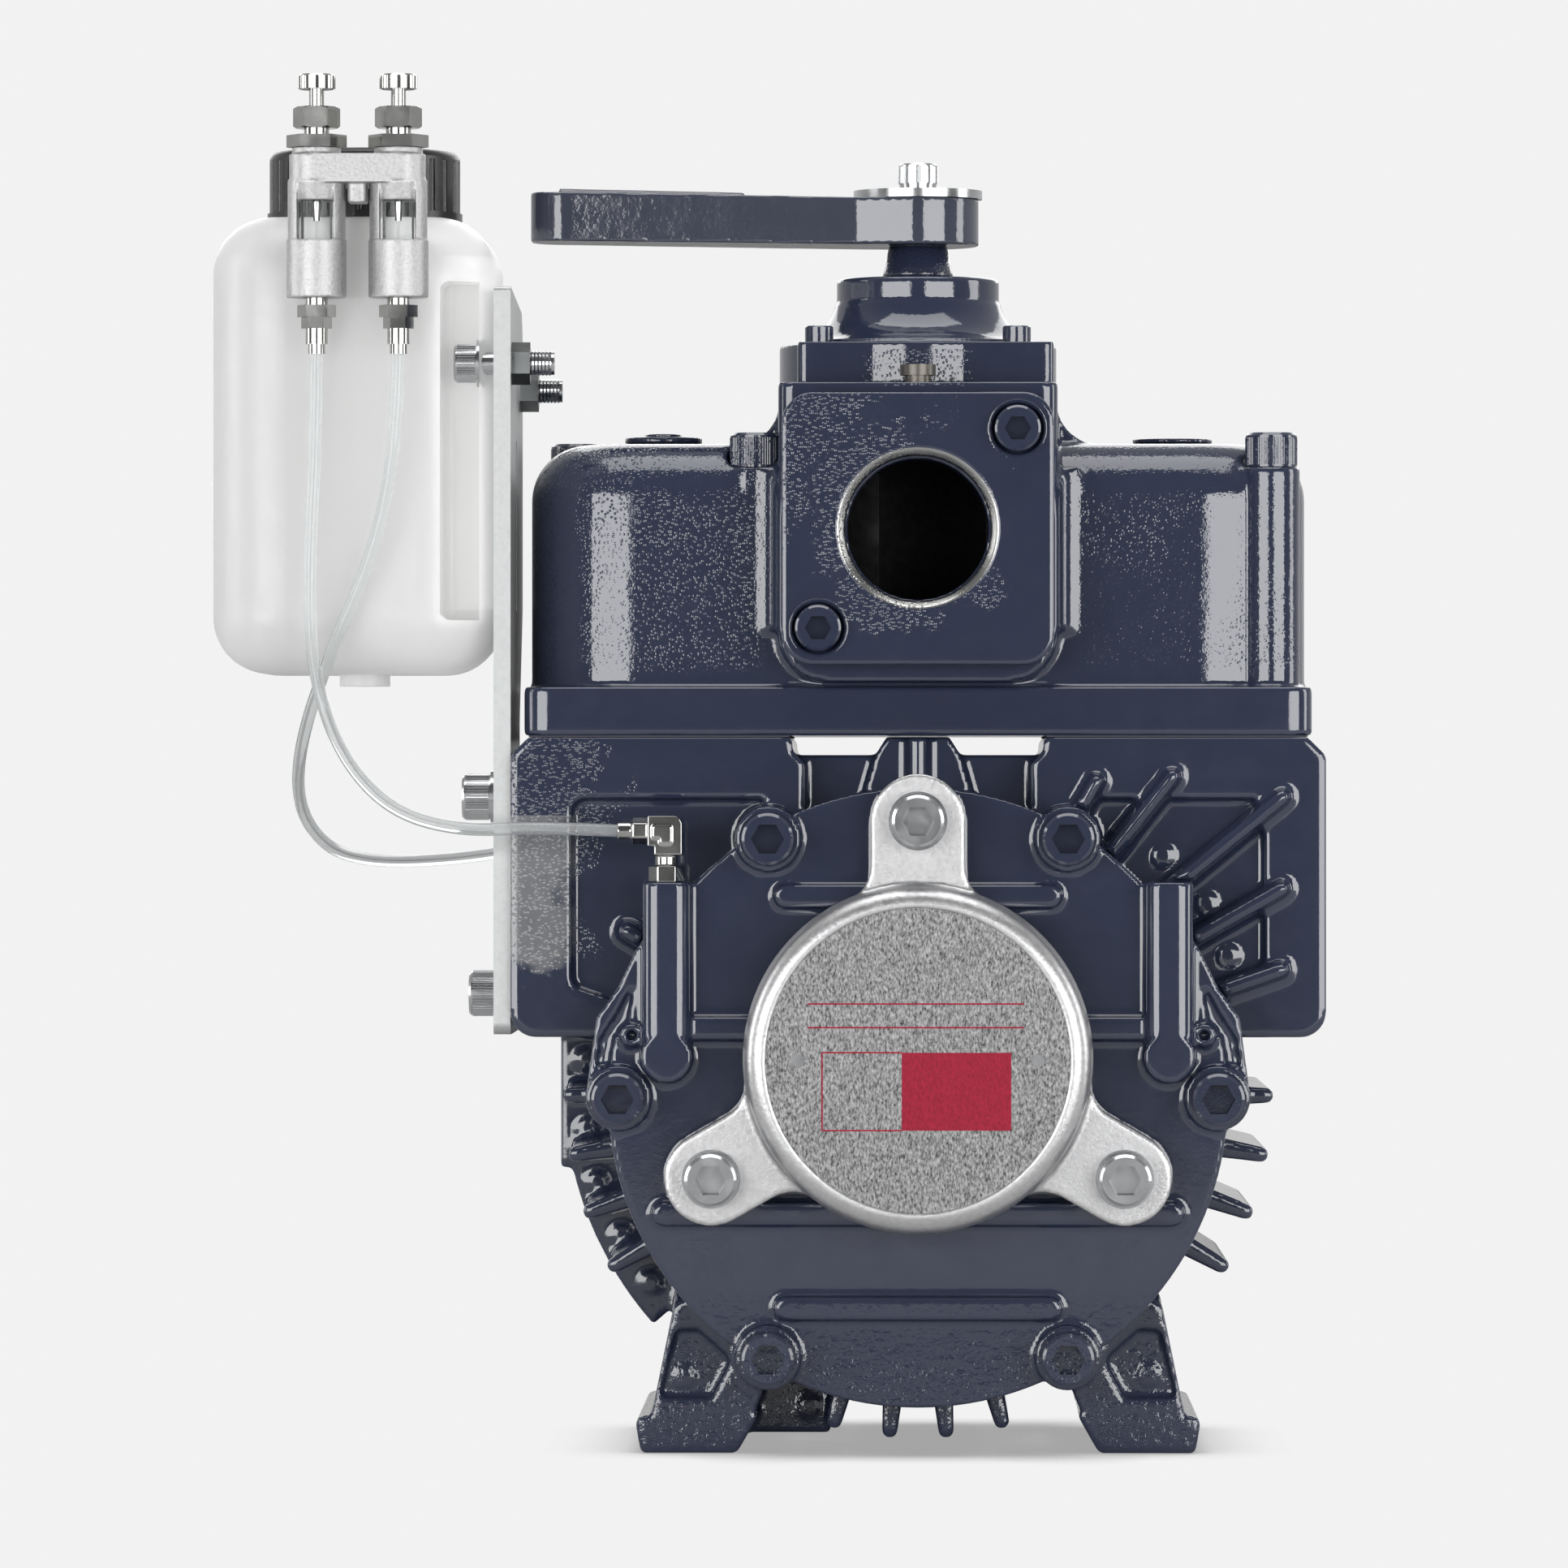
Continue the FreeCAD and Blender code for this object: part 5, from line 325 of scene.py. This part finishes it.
def navy_paint():
    """Gloss enamel: an orange-peel skin, sand-cast grain that shows in patches, bare edges at the ports,
    painted glints in grey on the left box's rough patch and a painted grey sheen on the lever.
    """
    f = Finish("navy_paint", NAVY, roughness=0.10)
    f.set("Specular IOR Level", 0.85)
    x, y, z = f.axes()
    across = f.math("ABSOLUTE", x, 0)
    along = f.math("ABSOLUTE", y, 0)
    rise = f.math("SUBTRACT", z, PORT_Z)
    radius = f.math("SQRT", f.math("ADD", f.math("MULTIPLY", x, x), f.math("MULTIPLY", rise, rise)), 0)
    plate = f.math("GREATER_THAN", along, PORT_FRONT_Y)
    bare = f.math("MULTIPLY", f.inside(radius, *BORE_RING), plate)
    wander = f.curve(f.noise(28, 4, 0.6), 0.25, 0.75, -WANDER, WANDER)

    dome = f.math("MULTIPLY", f.curve(z, *DOME_FOOT_Z, 0, 1), f.curve(across, *DOME_INNER_X, 0, 1))
    dome = f.math("MULTIPLY", dome, f.curve(z, *DOME_TOP_Z, 1, 0))
    low = f.curve(z, *FEET_Z, 1, 0)
    around = f.curve(f.math("ADD", radius, wander), *PORT_GRAIN_START, 1, 0)
    slant = f.math("ADD", f.math("SUBTRACT", rise, x), wander)
    around = f.math("MULTIPLY", around, f.curve(radius, *PORT_GRAIN_END, 1, 0))
    around = f.math("MAXIMUM", around, f.curve(slant, *PORT_CORNER, 0, 0.8))
    around = f.math("MULTIPLY", around, plate)
    left = f.math("MULTIPLY", f.curve(f.math("ADD", x, wander), *LEFT_BOX_X, 1, 0),
                  f.curve(f.math("ADD", z, wander), *LEFT_BOX_LOW_Z, 0, 1))
    left = f.math("MULTIPLY", left, f.curve(z, *LEFT_BOX_HIGH_Z, 1, 0))
    patch = f.curve(f.noise(16, 4, 0.6), 0.50, 0.66, 0.0, 1.0)
    rough = f.math("MULTIPLY", f.curve(patch, 0, 1, 0.30, 0.9), f.curve(x, *DOME_LEAN_X, 1.3, 0.6))
    coarse = f.math("MAXIMUM", f.math("MULTIPLY", dome, rough), f.math("MAXIMUM", around, left))
    coarse = f.math("MAXIMUM", coarse, f.math("MULTIPLY", patch, 0.05))
    middle = f.math("MAXIMUM", f.inside(z, *VALVE_FLANGE_Z), f.inside(z, *SPINDLE_Z))
    middle = f.math("MULTIPLY", middle, f.curve(across, *SPINDLE_GRAIN_X, 0.9, 0))
    coarse = f.math("MAXIMUM", coarse, middle)
    spots = f.curve(f.dots(860), 0.08, 0.42, 1.0, 0.0)
    peel = f.noise(330, 3, 0.55)
    ripple = f.math("MAXIMUM", f.math("MULTIPLY", dome, 0.26), f.math("MULTIPLY", low, 0.9))
    ripple = f.math("MAXIMUM", ripple, f.curve(z, *UPPER_Z, 0.045, 0.16))
    skin = f.bump(peel, PEEL_DEPTH, ripple)
    f.normal(f.bump(spots, SPOT_DEPTH, coarse, skin))

    paint = f.colours(f.noise(60, 4, 0.6), NAVY, NAVY_THIN)
    # Painted glints: grey speckled into the left box's rough patch stands in for the highlights its grain
    # catches.
    glint_patch = f.math("MULTIPLY", left, f.inside(z, *GLINT_PATCH_Z))
    glint_patch = f.math("MULTIPLY", glint_patch, f.curve(spots, 0, 1, 0.5, 1))
    glint_patch = f.math("MULTIPLY", glint_patch, f.curve(x, *GLINT_PATCH_X, 1, 0))
    paint = f.colours(glint_patch, paint, PAINTED_SHEEN_GREY)
    # Painted sheen: a little grey over the lever stands in for its reflections.
    paint = f.colours(f.curve(z, *LEVER_SHEEN_Z, 0.0, 0.10), paint, PAINTED_SHEEN_GREY)
    f.colour(f.colours(bare, paint, BARE_IRON))
    f.link(bare, f.shader.inputs["Metallic"])
    smooth = f.curve(f.noise(120, 3, 0.5), 0.3, 0.7, 0.05, 0.11)
    f.roughness(f.math("ADD", smooth, f.math("MULTIPLY", f.math("MAXIMUM", bare, glint_patch), 0.2)))
    return f.material


OILER_X = (-0.150, -0.145)


def cast_aluminium():
    """Bright blasted casting with a fine even grain, duller and rougher on the oiler."""
    f = Finish("cast_aluminium", (0.60, 0.60, 0.605), metallic=0.85, roughness=0.34)
    x, _, _ = f.axes()
    oiler = f.curve(x, *OILER_X, 1, 0)
    grain = f.noise(820, 3, 0.6)
    soft = f.noise(90, 3, 0.5)
    f.normal(f.bump(grain, 0.00016, f.curve(oiler, 0, 1, 0.6, 1.0), f.bump(soft, 0.0004, 0.10)))
    bright = f.colours(f.noise(520, 3, 0.6), (0.42, 0.42, 0.425), (0.62, 0.62, 0.625))
    dull = f.colours(grain, (0.29, 0.29, 0.29), (0.68, 0.68, 0.68))
    f.colour(f.colours(oiler, bright, dull))
    f.roughness(f.math("ADD", f.curve(grain, 0.3, 0.7, 0.28, 0.42), f.math("MULTIPLY", oiler, 0.14)))
    return f.material


def plated(name, low, high, rough):
    """Zinc or nickel plate with faint clouding."""
    f = Finish(name, high, metallic=1.0, roughness=rough)
    cloud = f.noise(110, 3, 0.55)
    f.colour(f.colours(cloud, low, high))
    f.roughness(f.curve(cloud, 0.3, 0.7, rough * 0.85, rough * 1.2))
    return f.material


def galvanised_plate():
    """Galvanised sheet: fine mottling and a little wear."""
    f = Finish("galvanised_plate", (0.42, 0.43, 0.43), metallic=0.75, roughness=0.42)
    spangle = f.noise(520, 4, 0.7)
    f.colour(f.colours(spangle, (0.36, 0.37, 0.37), (0.57, 0.58, 0.58)))
    f.roughness(f.curve(spangle, 0.3, 0.7, 0.34, 0.52))
    f.normal(f.bump(f.noise(1100, 3, 0.6), 0.00006, 0.6))
    return f.material


def machined_steel():
    """Turned steel with fine tool lines round the shaft."""
    f = Finish("machined_steel", (0.56, 0.56, 0.57), metallic=1.0, roughness=0.24)
    lines = f.noise(900, 2, 0.5, (0.05, 1.6, 0.05))
    f.normal(f.bump(lines, 0.00010, 0.35))
    f.roughness(f.curve(lines, 0.3, 0.7, 0.18, 0.32))
    return f.material


LABEL_LINES = (158.6 * MM, 150.45 * MM)
LABEL_LINE_X = (-38.1 * MM, 36.7 * MM)
LABEL_BLOCK_X = (-5.6 * MM, 32.2 * MM)
LABEL_BLOCK_Z = (114.9 * MM, 141.8 * MM)
LABEL_BOX_X = -33.1 * MM
LINE_HALF = 0.28 * MM


def brushed_plate():
    """Satin sheet with a short upright grain, two ruled lines and a plain red block in an outline."""
    f = Finish("brushed_plate", (0.52, 0.52, 0.52), metallic=0.8, roughness=0.38)
    grain = f.curve(f.noise(1500, 3, 0.75, (1.0, 1.0, 0.45)), 0.32, 0.68, 0.0, 1.0)
    metal = f.colours(grain, (0.025, 0.025, 0.025), (0.44, 0.44, 0.44))
    x, _, z = f.axes()
    ink = None
    bars = [(LABEL_LINE_X, (line - LINE_HALF, line + LINE_HALF)) for line in LABEL_LINES]
    bars += [((LABEL_BOX_X, LABEL_BLOCK_X[0]), (line - LINE_HALF, line + LINE_HALF))
             for line in LABEL_BLOCK_Z]
    bars.append(((LABEL_BOX_X - LINE_HALF, LABEL_BOX_X + LINE_HALF), LABEL_BLOCK_Z))
    for across, up in bars:
        bar = f.math("MULTIPLY", f.inside(x, *across), f.inside(z, *up))
        ink = bar if ink is None else f.math("MAXIMUM", ink, bar)
    block = f.math("MULTIPLY", f.inside(x, *LABEL_BLOCK_X), f.inside(z, *LABEL_BLOCK_Z))
    red = f.colours(grain, (0.21, 0.003, 0.020), (0.36, 0.006, 0.036))
    lined = f.colours(ink, metal, red)
    f.colour(f.colours(block, lined, red))
    printed = f.math("MAXIMUM", ink, block)
    f.link(f.curve(printed, 0, 1, 0.8, 0.0), f.shader.inputs["Metallic"])
    f.link(f.curve(printed, 0, 1, 0.5, 0.25), f.shader.inputs["Specular IOR Level"])
    f.roughness(f.curve(grain, 0.3, 0.7, 0.34, 0.50))
    return f.material


def plain(name, low, high, rough, scale=300, bump=0.0001, metallic=0.0):
    """A plain surface with slight colour variation and a fine grain."""
    f = Finish(name, high, metallic=metallic, roughness=rough)
    grain = f.noise(scale, 3, 0.6)
    f.colour(f.colours(grain, low, high))
    f.roughness(f.curve(grain, 0.3, 0.7, rough * 0.85, min(1.0, rough * 1.2)))
    f.normal(f.bump(f.noise(scale * 3, 2, 0.5), bump, 0.4))
    return f.material


# Spans of the bottle's painted glow: across its width, and the recess where it is stronger.
BOTTLE_GLOW_X = (-0.225, -0.160)
RECESS_X = (-0.168, -0.162)
RECESS_Z = (0.296, 0.420)


def milky_plastic():
    """Translucent white moulding with a faint skin ripple, and a painted glow: emission that grows towards
    the right side and is stronger in the recess.
    """
    f = Finish("milky_plastic", (0.86, 0.86, 0.855), roughness=0.36)
    f.set("Subsurface Weight", 0.85)
    # Painted glow: the emission brightens the bottle more towards its right side, which the pump shades,
    # and more again in the recess, which lies in shade.
    f.set("Emission Color", (1.0, 1.0, 0.995, 1))
    x, _, z = f.axes()
    side_glow = f.curve(x, *BOTTLE_GLOW_X, 0.025, 0.09)
    recess = f.math("MULTIPLY", f.curve(x, *RECESS_X, 0.0, 1.0), f.inside(z, *RECESS_Z))
    glow = f.math("ADD", side_glow, f.math("MULTIPLY", recess, 0.08))
    f.link(glow, f.shader.inputs["Emission Strength"])
    f.set("Subsurface Radius", (1.0, 1.0, 1.0))
    f.set("Subsurface Scale", 0.02)
    f.set("Transmission Weight", 0.12)
    f.set("IOR", 1.5)
    f.normal(f.bump(f.noise(45, 2, 0.5), 0.0012, 0.12))
    f.roughness(f.curve(f.noise(160, 2, 0.5), 0.3, 0.7, 0.30, 0.44))
    return f.material


def clear(name, colour, rough, ior, transmission):
    """See-through glass or plastic with faint ripples."""
    f = Finish(name, colour, roughness=rough)
    f.set("Transmission Weight", transmission)
    f.set("IOR", ior)
    f.normal(f.bump(f.noise(140, 2, 0.5), 0.0004, 0.08))
    return f.material


def make_materials():
    """One material for each slot that the record names."""
    return {
        "navy_paint": navy_paint(),
        "cast_aluminium": cast_aluminium(),
        "zinc_plated": plated("zinc_plated", (0.42, 0.43, 0.44), (0.60, 0.61, 0.62), 0.19),
        "dark_zinc": plated("dark_zinc", (0.11, 0.115, 0.115), (0.24, 0.25, 0.25), 0.30),
        "nickel_brass": plated("nickel_brass", (0.34, 0.34, 0.33), (0.54, 0.54, 0.52), 0.12),
        "galvanised_plate": galvanised_plate(),
        "machined_steel": machined_steel(),
        "brushed_plate": brushed_plate(),
        "gasket": plain("gasket", (0.035, 0.036, 0.045), (0.07, 0.07, 0.085), 0.75),
        "seal_rubber": plain("seal_rubber", (0.012, 0.012, 0.012), (0.03, 0.03, 0.03), 0.55),
        "rotor_iron": plain("rotor_iron", (0.02, 0.02, 0.021), (0.06, 0.06, 0.062), 0.38, metallic=0.6),
        "vane_fibre": plain("vane_fibre", (0.10, 0.065, 0.035), (0.19, 0.13, 0.07), 0.6),
        "plug_bronze": plain("plug_bronze", (0.085, 0.078, 0.068), (0.15, 0.14, 0.125), 0.36,
                             metallic=0.8),
        "milky_plastic": milky_plastic(),
        "black_plastic": plain("black_plastic", (0.006, 0.006, 0.006), (0.016, 0.016, 0.017), 0.30),
        "sight_glass": clear("sight_glass", (0.98, 0.99, 0.99), 0.02, 1.16, 1.0),
        "clear_tube": clear("clear_tube", (0.78, 0.80, 0.80), 0.10, 1.34, 0.80),
    }


def dress_nodes(materials):
    """Gives every carried-over node its slot's material."""
    for node, obj in frame["nodes"].items():
        material = materials[SLOT_OF[node]]
        if not obj.material_slots:
            obj.data.materials.append(material)
        for slot in obj.material_slots:
            slot.material = material


def new_piece(name, mesh, body, slot, materials):
    """A mesh as a visible piece of one body."""
    piece = bpy.data.objects.new(name, mesh)
    bpy.context.scene.collection.objects.link(piece)
    mesh.materials.clear()
    mesh.materials.append(materials[slot])
    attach(piece, body)
    return piece


def apply_modifiers(piece):
    """Bakes a piece's modifiers into its mesh."""
    graph = bpy.context.evaluated_depsgraph_get()
    mesh = bpy.data.meshes.new_from_object(piece.evaluated_get(graph))
    old = piece.data
    piece.modifiers.clear()
    piece.data = mesh
    bpy.data.meshes.remove(old)


def shade_smooth(piece):
    for polygon in piece.data.polygons:
        polygon.use_smooth = True


def soft_casting(node, voxel, smooth, materials):
    """A casting's solid with its edges rounded as poured iron under thick paint has them."""
    slot = SLOT_OF[node]
    mesh = frame["nodes"][node].data.copy()
    piece = new_piece(node + "_casting", mesh, BODY_OF[node], slot, materials)
    remesh = piece.modifiers.new("voxels", "REMESH")
    remesh.mode = "VOXEL"
    remesh.voxel_size = voxel * 1.0 * MM
    remesh.use_smooth_shade = True
    soften = piece.modifiers.new("soften", "SMOOTH")
    soften.factor = 0.5
    soften.iterations = smooth
    apply_modifiers(piece)
    shade_smooth(piece)
    piece.data.materials.clear()
    piece.data.materials.append(materials[slot])
    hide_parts(node)


# Each casting's node, voxel size in millimetres and smoothing steps.
CASTINGS = (("pump_housing", 1.1, 3), ("manifold", 1.1, 3), ("front_end_cover", 0.9, 3),
            ("rear_end_cover", 0.9, 3), ("front_bearing_cap", 0.8, 3), ("rear_bearing_cap", 0.8, 3),
            ("valve_cover", 0.7, 3), ("valve_lever", 0.6, 3), ("front_port_flange", 0.7, 3),
            ("rear_port_flange", 0.7, 3), ("oiler_block", 0.4, 3), ("manifold_plugs", 0.6, 2),
            ("elbow_fittings", 0.3, 3))


# Each tube's route from its feed fitting to its elbow, in millimetres.
TUBES = {
    "front_oil_tube": ((-210.1, -84.5, 384.8), (-210.4, -84.5, 352.0), (-212.5, -85.0, 314.0),
                       (-212.0, -88.0, 277.0), (-203.0, -92.0, 247.0), (-185.0, -96.0, 225.5),
                       (-160.0, -98.5, 218.0), (-132.0, -98.0, 219.5), (-104.6, -96.5, 218.2)),
    "rear_oil_tube": ((-181.5, -84.5, 384.8), (-182.2, -83.5, 354.0), (-190.0, -80.0, 316.0),
                      (-205.5, -78.0, 281.0), (-217.0, -66.0, 250.0), (-220.0, -38.0, 227.0),
                      (-212.0, -2.0, 211.5), (-198.0, 32.0, 206.5), (-176.0, 62.0, 206.5),
                      (-150.0, 84.0, 209.5), (-126.0, 95.5, 216.0), (-104.6, 96.5, 218.2)),
}
TUBE_D = 4.4 * MM


def hose(node, materials):
    """A clear hose along its route."""
    curve = bpy.data.curves.new(node + "_hose", "CURVE")
    curve.dimensions = "3D"
    points = TUBES[node]
    spline = curve.splines.new("NURBS")
    spline.points.add(len(points) - 1)
    for point, place in zip(spline.points, points):
        point.co = (*(c * MM for c in place), 1)
    spline.order_u = 3
    spline.use_endpoint_u = True
    spline.resolution_u = 12
    curve.bevel_depth = TUBE_D / 2
    curve.bevel_resolution = 5
    curve.materials.append(materials["clear_tube"])
    piece = bpy.data.objects.new(node + "_hose", curve)
    bpy.context.scene.collection.objects.link(piece)
    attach(piece, BODY_OF[node])
    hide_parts(node)


def ring_mesh(name, base, axis, loops):
    """Joins loops of (radius list, height) into a closed skin round an axis that starts at the base."""
    turn = Vector((0, 0, 1)).rotation_difference(Vector(axis))
    count = len(loops[0][0])
    verts = []
    for radii, height in loops:
        for i, radius in enumerate(radii):
            a = 2 * math.pi * i / count
            place = Vector((radius * math.cos(a), radius * math.sin(a), height)) * MM
            verts.append(Vector(base) * MM + turn @ place)
    faces = []
    for k in range(len(loops)):
        here, there = k * count, (k + 1) % len(loops) * count
        for i in range(count):
            j = (i + 1) % count
            faces.append((here + i, here + j, there + j, there + i))
    mesh = bpy.data.meshes.new(name)
    mesh.from_pydata(verts, [], faces)
    return mesh


KNURL_RISE = 0.20
KNURL_ROOT = 0.02
KNURL_BACK = 0.3
KNURL_BAND = (0.06, 0.86)


def knurl(node, index, base, axis, radius, height, teeth, materials):
    """The straight-knurled band round a head or knob."""
    outer = [radius + (KNURL_RISE if i % 4 < 2 else KNURL_ROOT) for i in range(teeth * 4)]
    inner = [radius - KNURL_BACK] * len(outer)
    low, high = (height * share for share in KNURL_BAND)
    loops = [(inner, low), (outer, low), (outer, high), (inner, high)]
    mesh = ring_mesh(node + "_knurl", base, axis, loops)
    new_piece("%s_knurl_%d" % (node, index), mesh, BODY_OF[node], SLOT_OF[node], materials)


THREAD_SIDES = 40
THREAD_BACK = 0.4
THREAD_ROOT = 0.02
THREAD_CREST = 0.34


def thread(node, index, base, axis, radius, length, pitch, materials):
    """The ridges of a screw thread along a plain shank."""
    back, root, crest = ([radius + rise] * THREAD_SIDES
                         for rise in (-THREAD_BACK, THREAD_ROOT, THREAD_CREST))
    loops = [(back, 0.0)]
    steps = int(length / pitch)
    for k in range(steps):
        loops.append((root, k * pitch + pitch * 0.1))
        loops.append((crest, k * pitch + pitch * 0.5))
    loops += [(root, steps * pitch), (back, steps * pitch)]
    mesh = ring_mesh(node + "_thread", base, axis, loops)
    new_piece("%s_thread_%d" % (node, index), mesh, BODY_OF[node], SLOT_OF[node], materials)


BOOT_SIDES = 64
BOOT_PROFILE = ((9.6, 415.1), (13.0, 415.1), (12.3, 417.2), (10.4, 426.6), (9.6, 426.6))


def spindle_boot(materials):
    """The painted taper of the valve spindle between the cover and the lever."""
    loops = [([radius] * BOOT_SIDES, height) for radius, height in BOOT_PROFILE]
    mesh = ring_mesh("spindle_boot", (0, 0, 0), (0, 0, 1), loops)
    piece = new_piece("spindle_boot", mesh, BODY_OF["valve_lever"], "navy_paint", materials)
    shade_smooth(piece)


# Screw heads' places on the covers, the caps and the manifold, and each kind's radius, height and teeth.
COVER_HEADS = ((104.2, 125.2), (52.1, 215.44), (-52.1, 215.44),
               (-104.2, 125.2), (-52.1, 34.96), (52.1, 34.96))
CAP_HEADS = ((0.0, 221.7), (-71.62, 97.65), (71.62, 97.65))
STAY_HEADS = ((124.3, -57.0), (-57.0, -57.0), (-124.3, 57.0), (57.0, 57.0))
M12_HEAD = (9.0, 12.0, 64)
M10_HEAD = (8.0, 10.0, 54)
M8_HEAD = (6.6, 8.0, 46)
LEVER_HEAD = (6.9, 7.4, 48)
KNOB = (6.4, 5.4, 34)
M8_THREAD = (4.0, 8.4, 1.25)
UP, LEFT, RIGHT = (0, 0, 1), (-1, 0, 0), (1, 0, 0)

KNURLS = [("manifold_screws", (x, y, 346.0), UP, *M12_HEAD) for x, y in STAY_HEADS]
KNURLS += [("cover_screws", (x, 100.0 * end, z), (0, end, 0), *M12_HEAD)
           for x, z in COVER_HEADS for end in (-1, 1)]
KNURLS += [("cap_screws", (x, 113.1 * end, z), (0, end, 0), *M12_HEAD)
           for x, z in CAP_HEADS for end in (-1, 1)]
KNURLS += [("lever_screw", (0, 0, 448.9), UP, *LEVER_HEAD),
           ("left_knob", (-210.1, -84.5, 477.1), UP, *KNOB),
           ("right_knob", (-181.5, -84.5, 477.1), UP, *KNOB),
           ("bottle_screws", (-155.3, -56.0, 382.6), LEFT, *M8_HEAD),
           ("bottle_screws", (-155.3, 22.0, 376.0), LEFT, *M8_HEAD),
           ("bracket_screws", (-150.4, -56.0, 230.0), LEFT, *M10_HEAD),
           ("bracket_screws", (-150.4, -3.0, 159.7), LEFT, *M10_HEAD)]
THREADS = (("bottle_screws", (-136.5, -56.0, 382.6), RIGHT, *M8_THREAD),
           ("bottle_screws", (-136.5, 22.0, 376.0), RIGHT, *M8_THREAD))


def main():
    bpy.context.scene.view_settings.view_transform = "Standard"
    make_camera()
    make_world()
    make_floor()
    make_lights()
    materials = make_materials()
    dress_nodes(materials)
    for node in TUBES:
        hose(node, materials)
    for node, voxel, smooth in CASTINGS:
        soft_casting(node, voxel, smooth, materials)
    spindle_boot(materials)
    for index, (node, *rest) in enumerate(KNURLS):
        knurl(node, index, *rest, materials)
    for index, (node, *rest) in enumerate(THREADS):
        thread(node, index, *rest, materials)


main()
